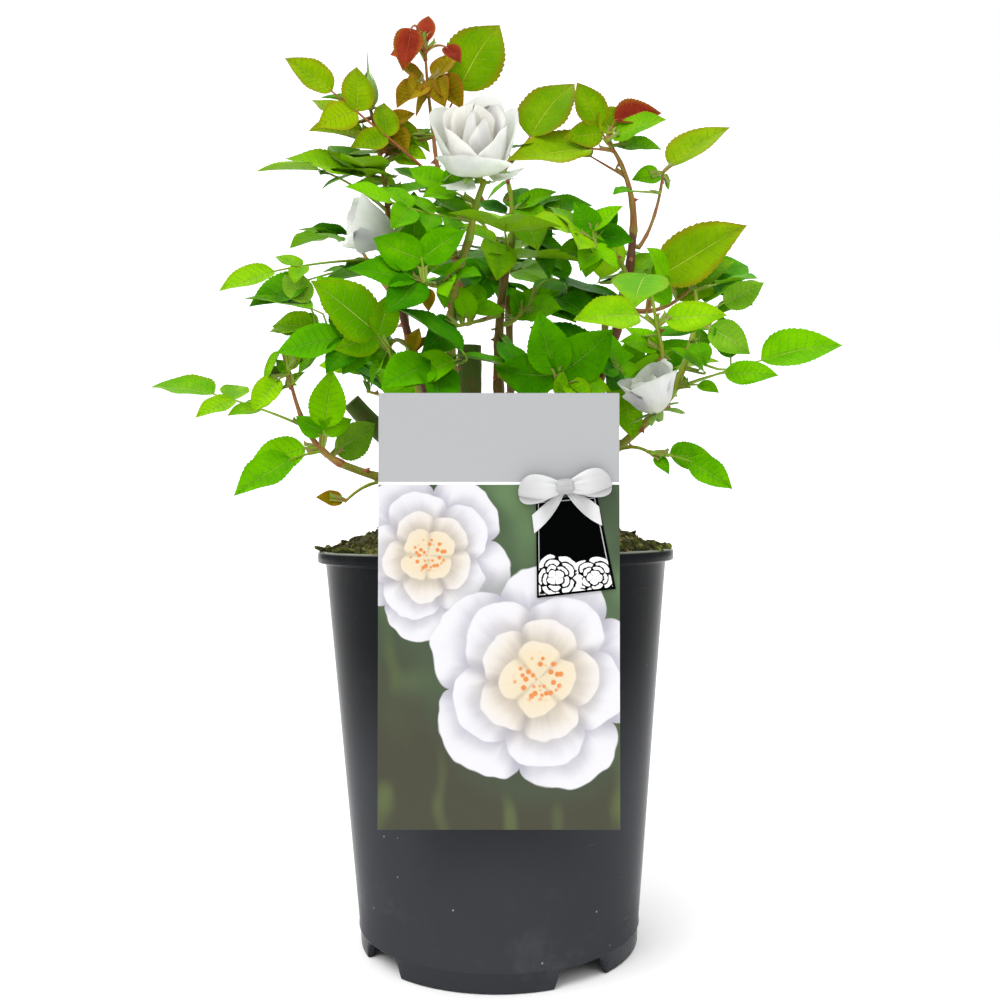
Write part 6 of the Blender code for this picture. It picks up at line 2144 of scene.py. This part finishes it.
class RoseBloomSettings(bpy.types.PropertyGroup):
    white: FloatVectorProperty(
        name="Petal colour", description="Colour of the petals", subtype="COLOR",
        default=srgb(219, 219, 215)[:3], **COLOUR)
    # cream, and painted paler than the outer petals as painted light inside the cup
    heart: FloatVectorProperty(
        name="Heart colour", description="Colour of the inner petals", subtype="COLOR",
        default=srgb(242, 240, 230)[:3], **COLOUR)
    foot: FloatVectorProperty(
        name="Petal foot", description="Colour at the foot of the petals", subtype="COLOR",
        default=srgb(212, 210, 176)[:3], **COLOUR)
    thickness: FloatProperty(
        name="Petal thickness", description="Thickness of a petal", subtype="DISTANCE",
        unit="LENGTH", default=0.0005, min=0.0002, max=0.002)
    seed: IntProperty(
        name="Bloom seed", description="Seed of the petals' shapes", default=9, min=0)


class RoseLabelSettings(bpy.types.PropertyGroup):
    header: FloatVectorProperty(
        name="Header colour", description="Colour of the card's bare header", subtype="COLOR",
        default=srgb(163, 164, 166)[:3], **COLOUR)
    ground: FloatVectorProperty(
        name="Ground colour", description="Green behind the card's blossoms", subtype="COLOR",
        default=srgb(92, 122, 78)[:3], **COLOUR)
    tag: FloatVectorProperty(
        name="Tag colour", description="Colour of the small tag", subtype="COLOR",
        default=srgb(4, 5, 5)[:3], **COLOUR)
    ribbon: FloatVectorProperty(
        name="Ribbon colour", description="Colour of the bow", subtype="COLOR",
        default=srgb(196, 196, 197)[:3], **COLOUR)


class RoseStageSettings(bpy.types.PropertyGroup):
    lens: FloatProperty(
        name="Lens", description="Focal length of the camera",
        unit="CAMERA", default=37.49, min=10.0)
    key: FloatProperty(
        name="Key light", description="Power of the key light", default=5.0, min=0.0)
    fill: FloatProperty(
        name="Fill light", description="Power of the fill light", default=2.0, min=0.0)
    high: FloatProperty(
        name="High light", description="Strength of the broad high light", default=1.02, min=0.0)
    sky: FloatProperty(
        name="Surround", description="Brightness of the room's ceiling and backdrop",
        default=1.5, min=0.0)
    sides: FloatProperty(
        name="Sides", description="Brightness of the room's other sides", default=0.35, min=0.0)


# ---------------------------------------------------------------- operators

def pick(name):
    """Settings of one kind."""
    return getattr(bpy.context.scene, name)


class ROSEBUSH_OT_pot(bpy.types.Operator):
    """Mould the pot with its lip, ridge, drain notches and finish"""
    bl_idname = "rosebush.pot"
    bl_label = "Pot"

    def execute(self, context):
        settings = pick("rose_pot")

        def level(angle, number, radius, z):
            lift = notch_lift(angle) if number in FOOT_ROWS else 0.0
            return z if lift <= z else lift + 0.1 * z

        half = 0.5 * NOTCH_ANGLE
        angles = [360.0 * k / settings.segments for k in range(settings.segments)]
        for bearing in NOTCH_BEARINGS:
            for share, _ in NOTCH_EDGE[1:]:
                angles += [(bearing + sign * share * half) % 360.0 for sign in (-1.0, 1.0)]
        angles = sorted(set(angles))
        angles = [a for k, a in enumerate(angles) if k == 0 or a - angles[k - 1] > 1e-3]
        angles = [math.radians(a) for a in angles]
        soup = Soup().add(*turned_body(pot_profile(), angles, level))
        pot = soup.piece("pot_skin", pot_finish(opaque(settings.colour), settings.roughness))
        settle(outwards(pot), "pot_black_plastic", "pot")
        return {"FINISHED"}


class ROSEBUSH_OT_soil(bpy.types.Operator):
    """Fill the pot with heaped compost and strew crumbs over it"""
    bl_idname = "rosebush.soil"
    bl_label = "Soil"

    def execute(self, context):
        settings = pick("rose_soil")
        dark, light = opaque(settings.dark), opaque(settings.light)
        bottom = POT_FLOOR_RISE + POT_FLOOR_THICKNESS + GAP
        edge = wall_radius(SOIL_EDGE_HEIGHT) - POT_WALL - 1.5 * GAP
        shoulder = POT_TOP_RADIUS - POT_WALL - 1.5 * GAP
        profile = [(0.0, bottom), (wall_radius(bottom) - POT_WALL - 0.0008 - 1.5 * GAP, bottom),
                   (shoulder, POT_HEIGHT - POT_LIP_HEIGHT)]
        sides = len(profile)
        profile += [(edge * (1.0 - k / 46.0), SOIL_EDGE_HEIGHT) for k in range(47)]

        def level(angle, number, radius, z):
            if number < sides:
                return z
            return soil_height(radius * math.cos(angle), radius * math.sin(angle))

        angles = [math.tau * k / 180.0 for k in range(180)]
        points, faces = turned_body(profile, angles, level)
        points[-1].z = soil_height(0.0, 0.0)
        mat = soil_finish("soil", dark, light, 420.0)
        soil = Soup().add(points, faces).piece("soil_heap", mat)
        settle(outwards(soil), "compost", "root_ball")
        top = Soup().add(points, [f for f in faces if all(points[k].z > POT_HEIGHT for k in f)])
        count = len(angles)
        brim = []
        for a in angles:                  # crumbs lie on the lip as well, at the two sides
            outer = edge + (0.2 + 5.0 * abs(math.cos(a)) ** 1.5) * MM
            for reach, rise in ((edge, 1.4 * MM), (outer, 0.9 * MM)):
                brim.append((reach * math.cos(a), reach * math.sin(a), POT_HEIGHT + rise))
        top.add(brim, [(2 * k, 2 * k + 1, (2 * k + 3) % (2 * count), (2 * k + 2) % (2 * count))
                       for k in range(count)])
        mat = soil_finish("crumb", tinted(dark, 1.25), light, 900.0)
        crumbs = top.piece("soil_crumbs", mat, False)
        rng = random.Random(CRUMB_SEED)
        shapes = Shapes("crumbs", [crumb_shape("crumb", rng, s) for s in CRUMB_STRETCHES])
        run_tree(crumbs, crumb_tree(), {
            "Shapes": shapes.collection, "Spacing": settings.spacing, "Largest": settings.largest,
            "Finish": mat})
        shapes.remove()
        settle(crumbs, "compost", "root_ball")
        return {"FINISHED"}


class ROSEBUSH_OT_stems(bpy.types.Operator):
    """Grow the stem base, canes, pruned stubs, twigs and leaf stalks"""
    bl_idname = "rosebush.stems"
    bl_label = "Stems"

    def execute(self, context):
        settings = pick("rose_stems")
        finishes = {}
        for kind, (name, base, flush, fleck, roughness, _) in BARKS.items():
            own = opaque(getattr(settings, base)) if isinstance(base, str) else srgb(*base)
            finishes[kind] = stem_finish(name, own, srgb(*flush), srgb(*fleck), roughness)
        rng = random.Random(STEM_SEED)
        paths = {key: [] for key in finishes}
        nodes = {key: [] for key in finishes}
        for name, limb in PLANT.canes.items():
            out = (limb.start - KNOB_CENTRE).normalized()
            foot = KNOB_CENTRE + out * (0.6 * KNOB_RADIUS)
            kind = ("stubs" if name in STUBS else "canes_red" if name in RED_CANES else
                    "canes_brown" if name in BROWN_CANES else "canes_green")
            paths[kind].append(cut_path(limb, foot) if kind == "stubs" else
                               stem_path(limb, foot, rng, CANE_JOINTS))
            nodes[kind].append(name)
        holders = {row[0]: (row[1], row[2]) for row in SHOOTS}
        for name, limb in PLANT.shoots.items():
            cane, place = holders[name]
            foot = PLANT.canes[cane].point(min(place, LAST_PLACE))
            kind = "twigs_flushed" if name in FLUSHED_SHOOTS else "twigs_green"
            paths[kind].append(stem_path(limb, foot, rng, SHOOT_JOINTS))
            nodes[kind].append(name)
        for leaf in PLANT.leaves:
            kind = "stalks_flushed" if leaf.tone in FLUSHED_TONES else "stalks_green"
            steps = len(leaf.stalk) - 1
            path = [(p, STALK_RADIUS - STALK_TAPER * k / steps) for k, p in enumerate(leaf.stalk)]
            path[0] = (leaf.stalk[0], STALK_FOOT)
            root, heading, _, _ = leaf.leaflets[-1]
            if (root - leaf.stalk[-1]).length < 0.1 * MM:        # the end leaflet is there
                path.append((root + heading.normalized() * STALK_SINK, STALK_TIP))
            paths[kind].append(path)
            if leaf.shoot not in nodes[kind]:
                nodes[kind].append(leaf.shoot)
        for shoot, place, foot, axis, _, _ in BLOOMS:
            foot, axis = metres(foot), Vector(axis).normalized()
            root = PLANT.shoots[shoot].point(place)
            middle = root.lerp(foot, 0.55) - axis * (0.12 * (foot - root).length)
            path = []
            for k in range(9):
                t = k / 8.0
                p = root.lerp(middle, t).lerp(middle.lerp(foot - axis * (3.0 * MM), t), t)
                path.append((p, (1.35 + 0.25 * t ** 3) * MM))
            paths["twigs_green"].append(path)
        tree = stem_tree()
        for kind, mat in finishes.items():
            if not paths[kind]:
                continue
            thin = kind.startswith("stalks")
            run = run_tree(path_object(kind, paths[kind]), tree, {
                "Sides": max(6, settings.sides // 2) if thin else settings.sides,
                "Relief": 0.0 if thin else settings.relief * (2.2 if kind == "stubs" else 1.0),
                "Map length": 0.02 if thin else 0.05, "Finish": mat})
            settle(run, BARKS[kind][-1], *nodes[kind])
        self.stem_base(opaque(settings.old))
        return {"FINISHED"}

    def stem_base(self, old):
        """Lumpy graft union with a skirt that runs into the soil."""
        profile = [(0.0, -KNOB_RADIUS - 3.0 * MM), (0.9 * KNOB_RADIUS, -KNOB_RADIUS - 3.0 * MM),
                   (0.86 * KNOB_RADIUS, -0.8 * KNOB_RADIUS)]
        for k in range(15):
            a = math.radians(-40.0 + 9.2 * k)
            profile.append((KNOB_RADIUS * math.cos(a), KNOB_RADIUS * math.sin(a)))
        profile.append((0.0, KNOB_RADIUS))
        points, faces = turned_body(profile, 48)
        for p in points:
            lumps = noise.noise(p * 90.0) + 0.5 * noise.noise(p * 260.0 + Vector((3.0, 0.0, 0.0)))
            p *= 1.0 + 0.13 * lumps
            p += KNOB_CENTRE
        mat = plain_finish("stem_base_bark", old, srgb(132, 116, 88), 220.0, 0.85, 0.0006)
        base = Soup().add(points, faces).piece("stem_base_bark", mat)
        settle(outwards(base), "old_bark", "stem_base")


class ROSEBUSH_OT_prickles(bpy.types.Operator):
    """Set prickles along the stems and stipules at the feet of the leaves"""
    bl_idname = "rosebush.prickles"
    bl_label = "Prickles"

    def execute(self, context):
        canes = [limb for name, limb in PLANT.canes.items() if name not in STUBS]
        limbs = [(limb, *CANE_PRICKLES) for limb in canes]
        limbs += [(limb, *SHOOT_PRICKLES) for limb in PLANT.shoots.values()]
        tree = scatter_tree(False)
        mat = plain_finish("prickle_red", srgb(140, 70, 48), srgb(168, 104, 66), 500.0, 0.5,
                           0.0001)
        shapes = [prickle_shape("prickle", hook) for hook in (0.25, 0.5, 0.7)]
        spots = prickle_spots(limbs, random.Random(PRICKLE_SEED))
        settle(scatter("prickles", spots, tree, shapes, mat), "red_bark")
        spots = []
        for leaf in PLANT.leaves:
            ahead, face = square_face(leaf.stalk[2] - leaf.stalk[0], leaf.face)
            spots.append(spot(leaf.stalk[0], euler_turn(ahead, face), (STIPULE_LENGTH,) * 3))
        mat = plain_finish("stipule_green", srgb(120, 158, 48), srgb(146, 120, 62), 300.0, 0.5,
                           0.0001)
        settle(scatter("stipules", spots, tree, [stipule_shape("stipule")], mat), "rose_leaf")
        return {"FINISHED"}


class ROSEBUSH_OT_leaves(bpy.types.Operator):
    """Grow every leaflet again as a serrated, veined blade, one piece for each colour"""
    bl_idname = "rosebush.leaves"
    bl_label = "Leaves"

    def execute(self, context):
        settings = pick("rose_leaves")
        rng = random.Random(settings.seed)
        blades = [blade_shape("blade_%d" % k, rng, *bend) for k, bend in enumerate(BLADE_BENDS)]
        tree = scatter_tree(True)
        for number, (tone, values) in enumerate(TONES.items()):
            leaves = [leaf for leaf in PLANT.leaves if leaf.tone == tone]
            if not leaves:
                continue
            *colours, share, under = values
            colours = [srgb(*colour) for colour in colours]
            mat = leaf_finish("leaf_" + tone, *colours, share, srgb(*under), settings.roughness)
            spots = leaf_spots(leaves, LEAFLET_SEED + number)
            obj = scatter("leaves_" + tone, spots, tree, blades, mat, Size=settings.size,
                          Width=settings.width)
            settle(obj, "rose_leaf", *sorted({leaf.shoot for leaf in leaves}))
        return {"FINISHED"}


class ROSEBUSH_OT_blooms(bpy.types.Operator):
    """Open the white blooms petal by petal, with their hips, sepals and bud"""
    bl_idname = "rosebush.blooms"
    bl_label = "Blooms"

    def execute(self, context):
        settings = pick("rose_blooms")
        rng = random.Random(settings.seed)
        petals, green = Soup(), Soup()
        for (_, _, foot, _, length, mouth), (axis, turn, rows) in zip(BLOOMS, BLOOM_FORMS):
            base, axis = metres(foot), Vector(axis).normalized()
            bloom_petals(petals, base, axis, length * MM, mouth * MM, turn, rows, rng,
                         settings.thickness)
            calyx(green, base, axis, 0.5 * mouth * MM, rng)
        for shoot, axis, length, tip_length in BUDS:
            base = PLANT.shoots[shoot].point(0.99)
            bud_body(green, base, Vector(axis).normalized(), length * MM, tip_length * MM, rng)
        colours = (settings.white, settings.heart, settings.foot)
        mat = petal_finish(*(opaque(colour) for colour in colours), 0.5)
        shoots = sorted({row[0] for row in BLOOMS})
        settle(petals.piece("petals", mat), "rose_leaf_and_bloom", *shoots)
        mat = plain_finish("calyx_green", srgb(104, 146, 48), srgb(126, 160, 66), 400.0, 0.5,
                           0.0001)
        settle(outwards(green.piece("calyces", mat)), "rose_leaf_and_bloom")
        return {"FINISHED"}


class ROSEBUSH_OT_label(bpy.types.Operator):
    """Print the hanging card and the small tag, and finish the clip"""
    bl_idname = "rosebush.label"
    bl_label = "Label"

    def execute(self, context):
        settings = pick("rose_label")
        rosette = rosette_group()
        cx, cz = CARD_CENTRE
        half_w, half_h = 0.5 * CARD_WIDTH, 0.5 * CARD_HEIGHT
        corners = ((cx - half_w, cz - half_h), (cx + half_w, cz - half_h),
                   (cx + half_w, cz + half_h), (cx - half_w, cz + half_h))
        outline = rotated(corners, CARD_TILT, CARD_CENTRE)
        mesh = card_body(outline, CARD_FRONT, CARD_THICKNESS, CARD_BEVEL)
        mat = card_finish(opaque(settings.header), opaque(settings.ground), rosette)
        settle(new_piece("label_face", mesh, mat, False), "card_print", "label_card")
        outline = [(x * MM, z * MM) for x, z in TAG_CORNERS]
        mesh = card_body(outline, CARD_FRONT - GAP - TAG_THICKNESS, TAG_THICKNESS, CARD_BEVEL)
        mat = tag_finish(opaque(settings.tag), rosette)
        settle(new_piece("tag_face", mesh, mat, False), "tag_print", "gift_tag")
        mesh = frame["nodes"]["label_clip"].data.copy()
        bm = bmesh.new()
        bm.from_mesh(mesh)
        bmesh.ops.remove_doubles(bm, verts=bm.verts, dist=1e-6)
        bmesh.ops.dissolve_limit(bm, angle_limit=0.01, verts=bm.verts, edges=bm.edges)
        bmesh.ops.bevel(bm, geom=bm.edges[:], offset=CLIP_BEVEL, segments=2, profile=0.5,
                        affect="EDGES")
        bm.to_mesh(mesh)
        bm.free()
        mat = plain_finish("clip_clear_grey", srgb(206, 208, 210), srgb(190, 192, 196), 120.0,
                           0.3, 0.00002)
        settle(outwards(new_piece("clip_body", mesh, mat, False)), "clip_plastic", "label_clip")
        return {"FINISHED"}


class ROSEBUSH_OT_bow(bpy.types.Operator):
    """Tie the satin bow over the tag"""
    bl_idname = "rosebush.bow"
    bl_label = "Bow"

    def execute(self, context):
        settings = pick("rose_label")
        soup = Soup()
        for edges in TAIL_EDGES:
            soup.add(*shell(ribbon_tail(edges), RIBBON_THICKNESS))
        for sign in (-1.0, 1.0):
            soup.add(*shell(ribbon_loop(sign), RIBBON_THICKNESS))
        points, faces = turned_body(KNOT_PROFILE, 40)
        for p in points:
            crease = 1.0 + 0.06 * math.cos(9.0 * math.atan2(p.y, p.x))
            p.x, p.y, p.z = bow_point(p.z, p.x * crease, 2.6 - 0.62 * p.y * crease)
        corners = [(0.1 + 0.02 * (k % 5), 0.5) for face in faces for k in face]
        soup.add(points, faces, corners)
        mat = ribbon_finish(opaque(settings.ribbon))
        settle(outwards(soup.piece("bow", mat)), "bow_white", "ribbon_bow")
        return {"FINISHED"}


class ROSEBUSH_OT_stage(bpy.types.Operator):
    """Lay the pale floor and set the soft lights and the camera"""
    bl_idname = "rosebush.stage"
    bl_label = "Stage"

    def execute(self, context):
        settings = pick("rose_stage")
        scene = context.scene
        mesh = bpy.data.meshes.new("floor")
        corners = [(x * FLOOR_REACH, y * FLOOR_REACH, FLOOR_LEVEL)
                   for x, y in ((-1, -1), (1, -1), (1, 1), (-1, 1))]
        mesh.from_pydata(corners, [], [(0, 1, 2, 3)])
        mat = new_finish("floor_white", srgb(250, 250, 250), 0.9).mat
        floor = new_piece("floor", mesh, mat, False)
        world = bpy.data.worlds.new("white_room")
        scene.world = world
        world.use_nodes = True
        g = Graph(world.node_tree)
        background = world.node_tree.nodes["Background"]
        background.inputs["Color"].default_value = (1.0, 1.0, 1.0, 1.0)
        seen = g.get("ShaderNodeLightPath", at="Is Camera Ray")
        toward = g.split(g.get("ShaderNodeTexCoord", at="Generated"))
        lit = g.math("MAXIMUM", g.step(toward[1], 0.80, 0.97), g.step(toward[2], 0.20, 0.60))
        room = g.step(lit, 0.0, 1.0, settings.sides, settings.sky)
        g.feed(background.inputs["Strength"], g.math("MAXIMUM", room, seen))
        for name, kind, place, size in LIGHTS:
            light = bpy.data.lights.new(name, kind)
            light.energy = getattr(settings, name)
            if kind == "SUN":
                light.angle = size
            else:
                light.shape = "DISK"
                light.size = size
            lamp = new_object(name, light)
            lamp.location = place
            aim = LIGHT_AIM - Vector(place)
            lamp.rotation_euler = aim.to_track_quat("-Z", "Y").to_euler()
        data = bpy.data.cameras.new("camera")
        data.sensor_width = 36.0
        data.lens = settings.lens
        data.shift_x = CAMERA_SHIFT
        data.clip_start = 0.01
        camera = new_object("camera", data)
        tilt = Matrix.Rotation(math.radians(CAMERA_TILT), 4, "X")
        roll = Matrix.Rotation(math.radians(CAMERA_ROLL), 4, "Z")
        camera.matrix_world = Matrix.Translation(CAMERA_PLACE) @ tilt @ roll
        scene.camera = camera
        scene.view_settings.view_transform = "Standard"
        return {"FINISHED"}


class ROSEBUSH_PT_panel(bpy.types.Panel):
    """Settings and steps of the potted rose bush"""
    bl_idname = "ROSEBUSH_PT_panel"
    bl_label = "Rose bush"
    bl_space_type = "VIEW_3D"
    bl_region_type = "UI"
    bl_category = "Rose bush"

    def draw(self, context):
        for title, kind in SETTINGS:
            box = self.layout.box()
            group = getattr(context.scene, title)
            for key in kind.__annotations__:
                box.prop(group, key)
        for step in STEPS:
            self.layout.operator(step.bl_idname)


SETTINGS = (
    ("rose_pot", RosePotSettings), ("rose_soil", RoseSoilSettings),
    ("rose_stems", RoseStemSettings), ("rose_leaves", RoseLeafSettings),
    ("rose_blooms", RoseBloomSettings), ("rose_label", RoseLabelSettings),
    ("rose_stage", RoseStageSettings),
)
STEPS = (
    ROSEBUSH_OT_pot, ROSEBUSH_OT_soil, ROSEBUSH_OT_stems, ROSEBUSH_OT_prickles, ROSEBUSH_OT_leaves,
    ROSEBUSH_OT_blooms, ROSEBUSH_OT_label, ROSEBUSH_OT_bow, ROSEBUSH_OT_stage,
)


def register():
    """Add the settings, operators and panel."""
    for title, kind in SETTINGS:
        bpy.utils.register_class(kind)
        setattr(bpy.types.Scene, title, PointerProperty(type=kind))
    for step in STEPS:
        bpy.utils.register_class(step)
    bpy.utils.register_class(ROSEBUSH_PT_panel)


def unregister():
    """Take the settings, operators and panel out again."""
    bpy.utils.unregister_class(ROSEBUSH_PT_panel)
    for step in reversed(STEPS):
        bpy.utils.unregister_class(step)
    for title, kind in reversed(SETTINGS):
        delattr(bpy.types.Scene, title)
        bpy.utils.unregister_class(kind)


# the grown plant, shared by the operators
Plant = namedtuple("Plant", "canes shoots leaves")
PLANT = Plant(*grow())


def main():
    """Build the plant step by step."""
    register()
    for step in STEPS:
        group, name = step.bl_idname.split(".")
        getattr(getattr(bpy.ops, group), name)()


if __name__ == "__main__":
    main()
